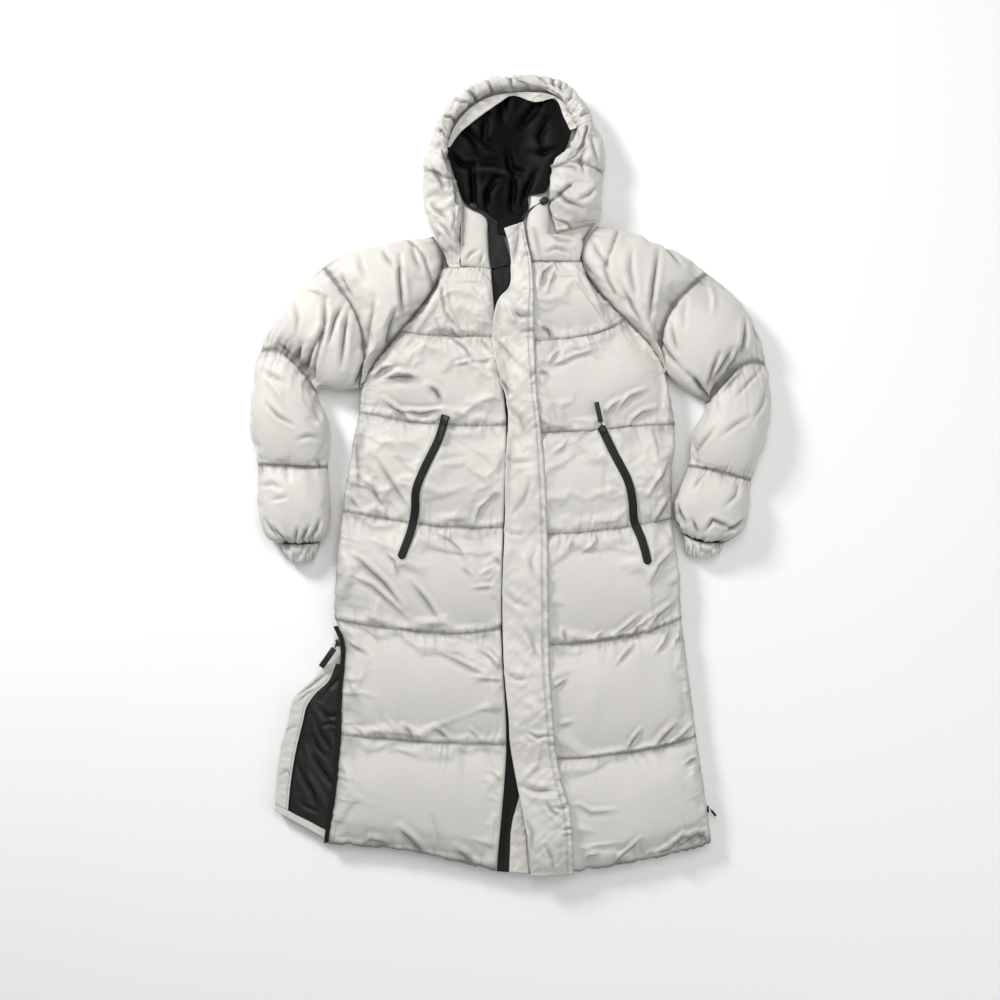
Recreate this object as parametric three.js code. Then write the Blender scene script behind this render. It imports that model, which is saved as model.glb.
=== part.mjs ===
// A long hooded puffer coat, unzipped at the neck, laid flat on its back with its front up.
// Millimetres. +X is the wearer's left side, +Y points from the hem to the hood, +Z is up.
// The origin lies on the surface under the middle of the coat.
import * as THREE from 'three';
import { mergeVertices } from 'three/addons/utils/BufferGeometryUtils.js';

// Thicknesses and heights of the quilted layers, in the order in which they lie.
const seamGap = 0.3;
const raglanGap = 1.7;
const backLoft = 24;
const backEdgeRise = 11;
const frontBase = backLoft + seamGap;
const frontSeamHeight = 13;
const frontLoft = 38;
const frontEdgeHeight = 7;
const sleeveMiddle = 27;
const sleeveSeamHeight = 48;
const sleeveLoft = 74;
const forearmLoft = 66;
const cuffSeamHeight = 40;
const cuffEndHeight = 32;
const slitHalf = 1.2;
const hoodLoft = 46;
const crownLoft = 40;
const hoodWall = 25;
const clothThickness = 2.2;
const liningThickness = 2;
const flapThickness = 7;

// Colours of the cloth and the trims.
const shellCloth = { color: 0xc9c4bb, roughness: 0.55, metalness: 0.05 };
const liningCloth = { color: 0x191716, roughness: 0.6, metalness: 0 };
const coatedTape = { color: 0x262524, roughness: 0.5, metalness: 0 };
const darkMetal = { color: 0x3a3836, roughness: 0.35, metalness: 0.7 };
const darkPlastic = { color: 0x151515, roughness: 0.45, metalness: 0 };

// Shares along the raglan seam, from the shoulder to the armpit, that sleeves and panels have in common.
const raglanShares = [0, 0.05, 0.14, 0.25, 0.38, 0.52, 0.66, 0.78, 0.88, 0.96, 1];
const neckShare = 0.25;
const armpitBaffle = 1.7;

// Where along the panels those shares lie, counted in baffles from the neck.
const raglanBaffles = [
  { share: 0.25, baffle: 0 },
  { share: 0.38, baffle: 0.3 },
  { share: 0.52, baffle: 0.66 },
  { share: 0.66, baffle: 1 },
  { share: 0.78, baffle: 1.2 },
  { share: 0.88, baffle: 1.42 },
  { share: 0.96, baffle: 1.6 },
  { share: 1, baffle: armpitBaffle },
];

// Four points across each row, from the outer edge of the sleeve to its inner edge.
// A row at a whole baffle number is a quilted seam.
const rightSleeveRows = [
  { baffle: 0, outer: [-143, 444], second: [-136, 358], third: [-205, 265], inner: [-273, 166] },
  { baffle: 0.5, outer: [-256, 427], second: [-222, 345], third: [-240, 262], inner: [-275, 165] },
  { baffle: 1, outer: [-345, 388], second: [-301, 327], third: [-272, 258], inner: [-279, 164] },
  { baffle: 1.5, outer: [-416, 309], second: [-362, 282], third: [-328, 218], inner: [-312, 161] },
  { baffle: 2, outer: [-463, 233], second: [-413, 226], third: [-384, 198], inner: [-356, 155] },
  { baffle: 2.5, outer: [-482, 112], second: [-432, 108], third: [-383, 102], inner: [-334, 92] },
  { baffle: 3, outer: [-467, 22], second: [-423, 20], third: [-380, 18], inner: [-336, 18] },
  { baffle: 3.5, outer: [-466, -58], second: [-424, -60], third: [-380, -58], inner: [-332, -56] },
  { baffle: 3.85, outer: [-452, -106], second: [-418, -108], third: [-378, -108], inner: [-338, -102] },
  { baffle: 4, outer: [-432, -121], second: [-405, -123], third: [-379, -123], inner: [-352, -121] },
];
const leftSleeveRows = [
  { baffle: 0, outer: [160, 463], second: [140, 374], third: [212, 290], inner: [283, 192] },
  { baffle: 0.5, outer: [266, 437], second: [226, 358], third: [246, 276], inner: [285, 190] },
  { baffle: 1, outer: [364, 377], second: [314, 331], third: [279, 270], inner: [288, 188] },
  { baffle: 1.5, outer: [436, 303], second: [384, 278], third: [344, 216], inner: [321, 161] },
  { baffle: 2, outer: [473, 205], second: [430, 207], third: [393, 176], inner: [361, 136] },
  { baffle: 2.5, outer: [479, 92], second: [434, 82], third: [386, 74], inner: [338, 82] },
  { baffle: 3, outer: [446, -6], second: [406, 3], third: [369, 13], inner: [329, 20] },
  { baffle: 3.5, outer: [441, -48], second: [398, -52], third: [350, -50], inner: [303, -48] },
  { baffle: 3.85, outer: [429, -96], second: [394, -104], third: [355, -104], inner: [312, -88] },
  { baffle: 4, outer: [398, -120], second: [373, -121], third: [347, -118], inner: [320, -106] },
];

// The open ends of the cuffs, which start where the sleeves end.
const rightCuffEnd = { outer: [-413, -152], second: [-398, -157], third: [-380, -157], inner: [-363, -151] };
const leftCuffEnd = { outer: [386, -142], second: [369, -147], third: [344, -148], inner: [325, -140] };

// Side seams below the armpit.
const rightSideSeam = [
  { baffle: armpitBaffle, x: -273, y: 166 },
  { baffle: 2, x: -280, y: 120 },
  { baffle: 2.4, x: -292, y: 45 },
  { baffle: 3, x: -310, y: -61 },
  { baffle: 3.5, x: -319, y: -165 },
  { baffle: 4, x: -323, y: -261 },
];
const leftSideSeam = [
  { baffle: armpitBaffle, x: 283, y: 192 },
  { baffle: 2, x: 303, y: 98 },
  { baffle: 2.5, x: 296, y: 10 },
  { baffle: 3, x: 298, y: -76 },
  { baffle: 3.5, x: 309, y: -170 },
  { baffle: 4, x: 315, y: -259 },
  { baffle: 4.5, x: 328, y: -375 },
  { baffle: 5, x: 343, y: -477 },
  { baffle: 5.4, x: 350, y: -540 },
  { baffle: 6, x: 371, y: -672 },
];
// The right front's edge along the open slit, and the back panel's edge that has swung out of it.
const slitFrontEdge = [
  { baffle: 4.2, x: -304, y: -310 },
  { baffle: 4.6, x: -309, y: -400 },
  { baffle: 5, x: -313, y: -474 },
  { baffle: 5.5, x: -319, y: -575 },
  { baffle: 6, x: -337, y: -675 },
];
const slitBackEdge = [
  { baffle: 4.25, x: -333, y: -325 },
  { baffle: 4.5, x: -362, y: -372 },
  { baffle: 4.75, x: -398, y: -405 },
  { baffle: 5, x: -415, y: -455 },
  { baffle: 5.5, x: -430, y: -540 },
  { baffle: 6, x: -439, y: -618 },
];

// Middle and centre-front ends of each quilted seam of the right front, and of the left front.
const rightFrontSeams = [
  { baffle: 0, middle: [-82, 386], centre: [-36, 382] },
  { baffle: 1, middle: [-118, 259], centre: [-26, 259] },
  { baffle: 2, middle: [-140, 98], centre: [-8, 96] },
  { baffle: 3, middle: [-150, -88], centre: [-13, -92] },
  { baffle: 4, middle: [-150, -285], centre: [-17, -279] },
  { baffle: 5, middle: [-150, -487], centre: [-8, -492] },
  { baffle: 6, middle: [-175, -693], centre: [-26, -727] },
];
const leftFrontSeams = [
  { baffle: 0, centre: [0, 392], middle: [66, 397] },
  { baffle: 1, centre: [6, 252], middle: [132, 260] },
  { baffle: 2, centre: [22, 78], middle: [170, 88] },
  { baffle: 3, centre: [19, -108], middle: [165, -98] },
  { baffle: 4, centre: [15, -309], middle: [180, -298] },
  { baffle: 5, centre: [20, -520], middle: [200, -508] },
  { baffle: 6, centre: [34, -731], middle: [215, -712] },
];
const backSeams = [
  { baffle: 0, middle: [0, 384] },
  { baffle: 1, middle: [5, 255] },
  { baffle: 2, middle: [5, 92] },
  { baffle: 3, middle: [0, -95] },
  { baffle: 4, middle: [0, -290] },
  { baffle: 5, middle: [-20, -490] },
  { baffle: 6, middle: [-40, -702] },
];

// The storm flap: its free edge and the stitched edge that holds it to the left front.
const stormFlapRows = [
  { free: [-12, 456], stitched: [19, 462] },
  { free: [-4, 430], stitched: [29, 438] },
  { free: [1, 392], stitched: [38, 398] },
  { free: [-2, 350], stitched: [42, 346] },
  { free: [-24, 322], stitched: [43, 310] },
  { free: [-33, 250], stitched: [44, 244] },
  { free: [-18, 180], stitched: [48, 161] },
  { free: [-5, 120], stitched: [54, 100] },
  { free: [-8, 20], stitched: [62, 20] },
  { free: [-11, -92], stitched: [68, -98] },
  { free: [-15, -230], stitched: [70, -230] },
  { free: [-12, -350], stitched: [72, -350] },
  { free: [-4, -440], stitched: [78, -440] },
  { free: [-1, -492], stitched: [84, -505] },
  { free: [11, -561], stitched: [95, -561] },
  { free: [23, -620], stitched: [109, -610] },
  { free: [33, -680], stitched: [114, -670] },
  { free: [37, -734], stitched: [116, -731] },
];

// The black facing behind the open zip, from inside the collar to the neck seam.
const neckFacingRows = [
  { left: [-43, 475], right: [-24, 472] },
  { left: [-40.5, 444], right: [-12, 442] },
  { left: [-39, 411], right: [-3, 410] },
  { left: [-35.5, 388], right: [1, 396] },
];

// The hood's padded edge: rows run from the wearer's right side of the neck round the crown.
const hoodRightRows = [
  { outer: [-118, 383.2], inner: [-92, 386.8] },
  { outer: [-120, 408], inner: [-92, 410] },
  { outer: [-131, 436], inner: [-92, 438] },
  { outer: [-152, 474], inner: [-92, 470] },
  { outer: [-158, 512], inner: [-92, 506] },
  { outer: [-158, 549], inner: [-102, 540] },
  { outer: [-153, 590], inner: [-114, 577] },
  { outer: [-143, 627], inner: [-118, 606] },
];
const hoodCrownRows = [
  { outer: [-142.5, 628], inner: [-117.5, 607] },
  { outer: [-125, 664], inner: [-104, 643] },
  { outer: [-93, 699], inner: [-76, 677] },
  { outer: [-50, 724], inner: [-38, 699] },
  { outer: [3, 732], inner: [4, 706] },
  { outer: [55, 732], inner: [52, 707] },
  { outer: [103, 718], inner: [88, 697] },
  { outer: [134, 686], inner: [111, 668] },
  { outer: [151, 653], inner: [123, 642] },
];
const hoodLeftRows = [
  { outer: [151.5, 652], inner: [123.4, 641] },
  { outer: [167, 614], inner: [108, 606] },
  { outer: [173, 577], inner: [84, 580] },
  { outer: [170, 540], inner: [72, 546] },
  { outer: [168, 503], inner: [72, 512] },
  { outer: [164, 485], inner: [74, 478] },
  { outer: [157, 469], inner: [80, 447] },
];
const hoodBackRows = [
  { left: [-118, 382], right: [124, 394.6] },
  { left: [-119, 408], right: [127, 416] },
  { left: [-130, 437], right: [140, 446] },
  { left: [-152, 474], right: [163, 484] },
  { left: [-158, 520], right: [169, 524] },
  { left: [-157, 560], right: [172, 572] },
  { left: [-150, 605], right: [166, 618] },
  { left: [-128, 658], right: [148, 660] },
  { left: [-93, 698], right: [112, 712] },
  { left: [-45, 722], right: [62, 730] },
];

// The collar fronts, from the chin down to the collar seam.
const rightCollarRows = [
  { left: [-91, 503], right: [-84, 498] },
  { left: [-91.5, 480], right: [-46, 476] },
  { left: [-91.5, 446], right: [-43, 444] },
  { left: [-91.5, 412], right: [-41, 410] },
  { left: [-91.5, 387.6], right: [-38, 384.6] },
];
const leftCollarRows = [
  { left: [38, 516], right: [71, 513] },
  { left: [35, 496], right: [72, 480] },
  { left: [30, 466], right: [76, 444] },
  { left: [31, 438], right: [130, 438] },
  { left: [39, 398], right: [128, 397.2] },
];

// The facing and the lining inside the hood.
const liningRows = [
  { left: [-22, 446], right: [4, 444] },
  { left: [-44, 482], right: [28, 480] },
  { left: [-80, 502], right: [33, 500] },
  { left: [-90, 517], right: [34, 518] },
  { left: [-96, 534], right: [66, 528] },
  { left: [-108, 570], right: [78, 572] },
  { left: [-116, 606], right: [102, 606] },
  { left: [-99, 640], right: [112, 642] },
  { left: [-58, 668], right: [102, 668] },
  { left: [-20, 693], right: [78, 694] },
];
const facingInner = [
  [-110, 600], [-97, 630], [-55, 662], [-28, 684], [0, 698], [50, 699], [81, 687], [100, 660], [106, 637],
];

// The open slit: the grey facing round its lining and the zip tape on the front's edge.
const slitFacingWidth = 26;
const slitFacingMargin = 3;
const slitTapeWidth = 9;

// Pocket zips, from the slider down to the lower end of the tape.
const rightPocketLine = [
  [-119, 112], [-133, 66], [-160, 10], [-173, -26], [-175, -62], [-183, -100], [-201, -150],
];
const leftPocketLine = [
  [166, 92], [190, 41], [214, -6], [223, -43], [227, -80], [241, -117], [252, -160],
];
const pocketTapeWidth = 15;
const pocketTapeThickness = 2.6;

// Sliders and pull tabs.
const slider = { length: 13, width: 9, height: 4.2 };
const pullTab = { width: 7, thickness: 2.2 };
const sliderReach = 11;
const pullReach = 6;
const sideSlider = { depth: 4, length: 12, height: 8, z: 18 };
const sidePull = { length: 16, width: 8, thickness: 5, turn: -52 };

// Where each zip's slider sits, which way it and its pull lie, in degrees, and the pull's length.
const zipSpots = {
  right: { x: -120, y: 104, zipTurn: -104, turn: -104, length: 42, lift: 0.9 },
  left: { x: 168, y: 88, zipTurn: 117, turn: 103, length: 50, lift: -0.7 },
  slit: { x: -318, y: -306, zipTurn: -79, turn: -125, length: 54, lift: 0.5 },
};

// Heights of the trims above the back panel, and the reach over which a strip clears what it lies on.
const collarLoft = 14;
const neckFacingRise = 10;
const zipRise = 8;
const slitTapeRise = 4.5;
const facingGap = 0.6;
const sideGap = 0.9;
const sidePullBaffle = 5.75;
const facingDrop = { outer: 18, inner: 14 };
const flapStep = 28;
const flapReach = 15;
const pocketTapeReach = 9;

// Drawcord ends and their locks.
const cordDiameter = 3.6;
const cordLock = { length: 17, radius: 7 };
const lockSink = 0.6;
const drawcordRight = [
  [-60, 492, 44], [-51, 487, 42.4], [-42, 480, 40.7], [-33, 473, 39.3], [-25, 466, 38.8],
];
const drawcordLeft = [
  [54, 502, 46.4], [45, 497, 45.6], [36, 491, 43.6], [28, 484, 40.4], [22, 476, 37.6],
];

// Hermite interpolation of a table's column at a position between its rows.
function columnAt(knots, values, position) {
  let i = 0;
  while (i < knots.length - 2 && position > knots[i + 1]) i += 1;
  const span = knots[i + 1] - knots[i];
  const share = Math.min(Math.max((position - knots[i]) / span, 0), 1);
  const slope = (j) => {
    const a = Math.max(j - 1, 0);
    const b = Math.min(j + 1, knots.length - 1);
    return (values[b] - values[a]) / (knots[b] - knots[a]);
  };
  const s2 = share * share;
  const s3 = s2 * share;
  return values[i] * (2 * s3 - 3 * s2 + 1) + slope(i) * span * (s3 - 2 * s2 + share)
    + values[i + 1] * (3 * s2 - 2 * s3) + slope(i + 1) * span * (s3 - s2);
}

function pointAt(rows, column, position, knotName) {
  const knots = rows.map((row, index) => (knotName ? row[knotName] : index));
  return [0, 1].map((axis) => columnAt(knots, rows.map((row) => row[column][axis]), position));
}

// A point on the cubic through four evenly spaced points.
function acrossRow(points, share) {
  const nodes = [0, 1 / 3, 2 / 3, 1];
  return [0, 1].map((axis) => nodes.reduce((sum, node, i) => {
    const weight = nodes.reduce((w, other, j) => (j === i ? w : w * (share - other) / (node - other)), 1);
    return sum + weight * points[i][axis];
  }, 0));
}

// A point on the straight stretches between the row's points at the shared raglan positions.
function acrossChords(points, share) {
  const next = Math.max(1, raglanShares.findIndex((stop) => stop >= share - 1e-9));
  const from = raglanShares[next - 1];
  const to = raglanShares[next];
  const a = acrossRow(points, from);
  const b = acrossRow(points, to);
  return [0, 1].map((axis) => a[axis] + (b[axis] - a[axis]) * (share - from) / (to - from));
}

// A point on the parabola through a left, a middle and a right point.
function parabola(left, middle, right, share) {
  const a = 2 * (share - 0.5) * (share - 1);
  const b = 4 * share * (1 - share);
  const c = 2 * share * (share - 0.5);
  return [0, 1].map((axis) => a * left[axis] + b * middle[axis] + c * right[axis]);
}

function geometryFrom(positions, indices) {
  const geometry = new THREE.BufferGeometry();
  geometry.setAttribute('position', new THREE.Float32BufferAttribute(positions.flat(), 3));
  geometry.setIndex(indices);
  return mergeVertices(geometry, 1e-4);
}

// Turns a shell's faces outward if its volume comes out negative.
function facingOut(geometry) {
  const position = geometry.getAttribute('position');
  const index = geometry.getIndex();
  const corners = [0, 1, 2].map(() => new THREE.Vector3());
  let volume = 0;
  for (let i = 0; i < index.count; i += 3) {
    corners.forEach((corner, k) => corner.fromBufferAttribute(position, index.getX(i + k)));
    volume += corners[0].dot(corners[1].clone().cross(corners[2]));
  }
  if (volume < 0) {
    for (let i = 0; i < index.count; i += 3) {
      const first = index.getX(i);
      index.setX(i, index.getX(i + 2));
      index.setX(i + 2, first);
    }
  }
  return geometry;
}

// A closed panel between an upper and a lower grid of points with the same rows and columns.
function panelSolid(upper, lower) {
  const rows = upper.length;
  const columns = upper[0].length;
  const positions = [...upper.flat(), ...lower.flat()];
  const top = (r, c) => r * columns + c;
  const bottom = (r, c) => rows * columns + r * columns + c;
  const indices = [];
  const quad = (a, b, c, d) => indices.push(a, b, c, a, c, d);
  for (let r = 0; r < rows - 1; r += 1) {
    for (let c = 0; c < columns - 1; c += 1) {
      quad(top(r, c), top(r + 1, c), top(r + 1, c + 1), top(r, c + 1));
      quad(bottom(r, c), bottom(r, c + 1), bottom(r + 1, c + 1), bottom(r + 1, c));
    }
    quad(top(r + 1, 0), top(r, 0), bottom(r, 0), bottom(r + 1, 0));
    quad(top(r, columns - 1), top(r + 1, columns - 1), bottom(r + 1, columns - 1), bottom(r, columns - 1));
  }
  for (let c = 0; c < columns - 1; c += 1) {
    quad(top(0, c), top(0, c + 1), bottom(0, c + 1), bottom(0, c));
    quad(top(rows - 1, c + 1), top(rows - 1, c), bottom(rows - 1, c), bottom(rows - 1, c + 1));
  }
  return facingOut(geometryFrom(positions, indices));
}

// A closed solid swept through rings that each have the same number of points.
function ringSolid(rings) {
  const size = rings[0].length;
  const indices = [];
  const at = (r, k) => r * size + (k % size);
  for (let r = 0; r < rings.length - 1; r += 1) {
    for (let k = 0; k < size; k += 1) {
      indices.push(at(r, k), at(r + 1, k), at(r + 1, k + 1), at(r, k), at(r + 1, k + 1), at(r, k + 1));
    }
  }
  [0, rings.length - 1].forEach((r) => {
    const flat = rings[r].map((point) => flattened(rings[r], point));
    const outlineArea = THREE.ShapeUtils.area(flat);
    THREE.ShapeUtils.triangulateShape(flat, []).forEach(([a, b, c]) => {
      const sameWay = THREE.ShapeUtils.area([flat[a], flat[b], flat[c]]) * outlineArea > 0;
      const [p, q] = sameWay ? [b, c] : [c, b];
      indices.push(...(r === 0 ? [at(r, a), at(r, p), at(r, q)] : [at(r, q), at(r, p), at(r, a)]));
    });
  });
  return facingOut(geometryFrom(rings.flat(), indices));
}

// A ring's point in the upright plane through its first and its widest point.
function flattened(ring, point) {
  const reach = ring.map((p) => Math.hypot(p[0] - ring[0][0], p[1] - ring[0][1]));
  const far = ring[reach.indexOf(Math.max(...reach))];
  const direction = [far[0] - ring[0][0], far[1] - ring[0][1]];
  const length = Math.hypot(...direction);
  const along = ((point[0] - ring[0][0]) * direction[0] + (point[1] - ring[0][1]) * direction[1]) / length;
  return new THREE.Vector2(along, point[2]);
}

// How full a baffle is at a position counted in baffles: 0 on a quilted seam, 1 in its middle.
function baffleFill(position) {
  const share = position - Math.floor(position);
  return Math.sin(Math.PI * share) ** 0.6;
}

// Quilting rises steeply from a panel's side edge and falls gently to its other edge.
function acrossFill(share, rise, farEdge) {
  const near = Math.min(share / rise, 1);
  const far = Math.min((1 - share) / rise, 1);
  const nearFill = Math.sqrt(1 - (1 - near) ** 2);
  const farFill = farEdge + (1 - farEdge) * Math.sqrt(1 - (1 - far) ** 2);
  return nearFill * farFill;
}

const raglanRow = (rows) => [rows[0].outer, rows[0].second, rows[0].third, rows[0].inner];

// A point on the side edge of a panel: along the raglan seam, then down the side seam.
function sideEdge(sleeveRows, seam, position, inward) {
  if (position <= armpitBaffle) {
    const knots = raglanBaffles.map((row) => row.baffle);
    const near = knots.findIndex((knot) => Math.abs(knot - position) < 1e-6);
    const share = near >= 0 ? raglanBaffles[near].share
      : neckShare + (1 - neckShare) * position / armpitBaffle;
    const [x, y] = acrossRow(raglanRow(sleeveRows), share);
    return [x + inward * raglanGap, y - raglanGap / 2];
  }
  const x = columnAt(seam.map((row) => row.baffle), seam.map((row) => row.x), position);
  const y = columnAt(seam.map((row) => row.baffle), seam.map((row) => row.y), position);
  const scallop = 3.5 * baffleFill(position) - 1.5;
  return [x - inward * scallop + inward * seamGap, y];
}

// Rows of a panel, counted in baffles: the raglan's own, then five to each baffle down to the hem.
const rowsToArmpit = raglanBaffles.map((row) => row.baffle);
const rowsBelow = [1.88, 2];
for (let baffle = 2; baffle < 6; baffle += 1) {
  rowsBelow.push(baffle + 0.1, baffle + 0.35, baffle + 0.65, baffle + 0.9, baffle + 1);
}
const panelRows = [...rowsToArmpit, ...rowsBelow];
const hemBaffle = 6;
const hemTuck = 0.04;

function seamColumn(seams, column, position) {
  return pointAt(seams, column, position, 'baffle');
}

const rightFrontSide = [...rightSideSeam, ...slitFrontEdge];
const rightBackSide = [...rightSideSeam, ...slitBackEdge];

// Folds that cross the baffles, pressed into the upper points: ends, width and depth of each.
const frontFolds = [
  { from: [-262, 150], to: [-150, 40], width: 16, depth: 6 },
  { from: [-285, 60], to: [-215, -20], width: 14, depth: 5 },
  { from: [-300, -110], to: [-215, -175], width: 15, depth: 5 },
  { from: [285, 150], to: [215, 70], width: 15, depth: 6 },
  { from: [290, -20], to: [225, -85], width: 14, depth: 5 },
  { from: [318, -330], to: [235, -420], width: 16, depth: 6 },
  { from: [345, -560], to: [250, -620], width: 16, depth: 7 },
  { from: [-120, -300], to: [-180, -400], width: 14, depth: 4 },
];
const sleeveFolds = [
  { from: [-285, 190], to: [-345, 290], width: 14, depth: 9 },
  { from: [-330, 170], to: [-400, 215], width: 12, depth: 8 },
  { from: [-172, 430], to: [-146, 345], width: 12, depth: 12 },
  { from: [-345, 130], to: [-420, 150], width: 12, depth: 8 },
  { from: [295, 200], to: [352, 300], width: 14, depth: 9 },
  { from: [335, 165], to: [400, 215], width: 12, depth: 8 },
  { from: [200, 446], to: [180, 345], width: 12, depth: 12 },
  { from: [350, 120], to: [420, 140], width: 12, depth: 8 },
];

function foldDepth(folds, x, y) {
  return folds.reduce((sum, fold) => {
    const dx = fold.to[0] - fold.from[0];
    const dy = fold.to[1] - fold.from[1];
    const along = ((x - fold.from[0]) * dx + (y - fold.from[1]) * dy) / (dx * dx + dy * dy);
    const share = Math.min(Math.max(along, 0), 1);
    const away = Math.hypot(x - fold.from[0] - dx * share, y - fold.from[1] - dy * share);
    return sum + fold.depth * Math.exp(-((away / fold.width) ** 2));
  }, 0);
}

// A front panel: plain underside on the back panel, baffles raised in the upper points.
const frontColumns = [0, 0.06, 0.16, 0.3, 0.44, 0.58, 0.72, 0.84, 0.94, 1];
function frontPanel(sleeveRows, side, seams, inward) {
  const upper = [];
  const lower = [];
  panelRows.forEach((position) => {
    const edge = sideEdge(sleeveRows, side, position, inward);
    const middle = seamColumn(seams, 'middle', position);
    const centre = seamColumn(seams, 'centre', position);
    const neckOrHem = Math.min(Math.min(position, hemBaffle - position) / 0.2, 1);
    const fill = baffleFill(Math.min(position, hemBaffle - hemTuck));
    const above = [];
    const below = [];
    frontColumns.forEach((share) => {
      const [x, y] = parabola(edge, middle, centre, share);
      const across = acrossFill(share, 0.24, 0.6);
      const seam = frontEdgeHeight + (frontSeamHeight - frontEdgeHeight) * across;
      const puff = (frontLoft - frontSeamHeight) * fill * across * (0.5 + 0.5 * neckOrHem);
      const height = Math.max(seam + puff - foldDepth(frontFolds, x, y) * fill * across, frontEdgeHeight);
      above.push([x, y, frontBase + height]);
      below.push([x, y, frontBase]);
    });
    upper.push(above);
    lower.push(below);
  });
  return panelSolid(upper, lower);
}

// The back panel: flat where it rests, rounded up at its edges.
const backColumns = [0, 0.025, 0.08, 0.22, 0.38, 0.5, 0.62, 0.78, 0.92, 0.975, 1];
function backPanel() {
  const upper = [];
  const lower = [];
  panelRows.forEach((position) => {
    const left = sideEdge(rightSleeveRows, rightBackSide, position, 1);
    const right = sideEdge(leftSleeveRows, leftSideSeam, position, -1);
    const middle = seamColumn(backSeams, 'middle', position);
    const lift = Math.max(0, 1 - Math.min(position, hemBaffle - position) / 0.12);
    const above = [];
    const below = [];
    backColumns.forEach((share) => {
      const [x, y] = parabola(left, middle, right, share);
      const toEdge = Math.min(share, 1 - share) / 0.08;
      const rise = backEdgeRise * Math.max(1 - Math.sqrt(1 - (1 - Math.min(toEdge, 1)) ** 2), lift);
      above.push([x, y, backLoft]);
      below.push([x, y, rise]);
    });
    upper.push(above);
    lower.push(below);
  });
  return panelSolid(upper, lower);
}

// A sleeve: a quilted tube, pressed flat so that only a slit is left inside it.
const undersideShares = raglanShares.slice(1, -1).reverse();
function sleeveRing(points, top, middle) {
  const outline = [];
  raglanShares.forEach((share) => {
    const t = Math.abs(2 * share - 1);
    const [x, y] = acrossChords(points, share);
    const crown = middle + (top - middle) * (1 - t ** 2.3) ** (1 / 2.3);
    const folded = crown - foldDepth(sleeveFolds, x, y) * (1 - t ** 4);
    outline.push([x, y, Math.max(folded, middle)]);
  });
  undersideShares.forEach((share) => {
    const t = Math.abs(2 * share - 1);
    const [x, y] = acrossChords(points, share);
    const toFlat = Math.max(0, (t - 0.72) / 0.28);
    outline.push([x, y, middle * (1 - Math.sqrt(1 - toFlat ** 2))]);
  });
  const slit = outline.filter((_, k) => k % 2 === 0).map((_, j) => {
    const k = 2 * j;
    const share = k < raglanShares.length ? raglanShares[k] : undersideShares[k - raglanShares.length];
    const [x, y] = acrossChords(points, 0.5 + (share - 0.5) * 0.84);
    const onEdge = share === 0 || share === 1;
    const side = k < raglanShares.length ? 1 : -1;
    return [x, y, middle + (onEdge ? 0 : side * slitHalf)];
  });
  return { outline, slit };
}

// Joins rings with twice as many outer points as inner ones into a tube with open ends.
function tubeSolid(sections) {
  const outerCount = sections[0].outline.length;
  const innerCount = sections[0].slit.length;
  const size = outerCount + innerCount;
  const positions = sections.flatMap((section) => [...section.outline, ...section.slit]);
  const outer = (r, k) => r * size + (k % outerCount);
  const inner = (r, k) => r * size + outerCount + (k % innerCount);
  const indices = [];
  for (let r = 0; r < sections.length - 1; r += 1) {
    for (let k = 0; k < outerCount; k += 1) {
      indices.push(outer(r, k), outer(r + 1, k), outer(r + 1, k + 1));
      indices.push(outer(r, k), outer(r + 1, k + 1), outer(r, k + 1));
    }
    for (let k = 0; k < innerCount; k += 1) {
      indices.push(inner(r, k), inner(r + 1, k + 1), inner(r + 1, k));
      indices.push(inner(r, k), inner(r, k + 1), inner(r + 1, k + 1));
    }
  }
  for (let k = 0; k < innerCount; k += 1) {
    const last = sections.length - 1;
    indices.push(outer(0, 2 * k), outer(0, 2 * k + 1), inner(0, k));
    indices.push(outer(0, 2 * k + 1), inner(0, k + 1), inner(0, k));
    indices.push(outer(0, 2 * k + 1), outer(0, 2 * k + 2), inner(0, k + 1));
    indices.push(outer(last, 2 * k), inner(last, k), outer(last, 2 * k + 1));
    indices.push(outer(last, 2 * k + 1), inner(last, k), inner(last, k + 1));
    indices.push(outer(last, 2 * k + 1), inner(last, k + 1), outer(last, 2 * k + 2));
  }
  return facingOut(geometryFrom(positions, indices));
}

const rowColumns = ['outer', 'second', 'third', 'inner'];
const sleeveRowsPerBaffle = [0, 0.15, 0.4, 0.65, 0.88];
function sleeve(rows) {
  const positions = [];
  for (let baffle = 0; baffle < 4; baffle += 1) {
    sleeveRowsPerBaffle.forEach((share) => positions.push(baffle + share));
  }
  positions.push(4);
  const sections = positions.map((position) => {
    const points = rowColumns.map((column) => pointAt(rows, column, position, 'baffle'));
    const loft = sleeveLoft + (forearmLoft - sleeveLoft) * Math.min(Math.max(position - 2, 0), 1);
    const atEnds = Math.min(position / 0.15, (4 - position) / 0.15, 1);
    const seam = cuffSeamHeight + (sleeveSeamHeight - cuffSeamHeight) * Math.max(atEnds, 0);
    const top = seam + (loft - seam) * baffleFill(Math.min(position, 4));
    return sleeveRing(points, top, sleeveMiddle);
  });
  return tubeSolid(sections);
}

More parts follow.
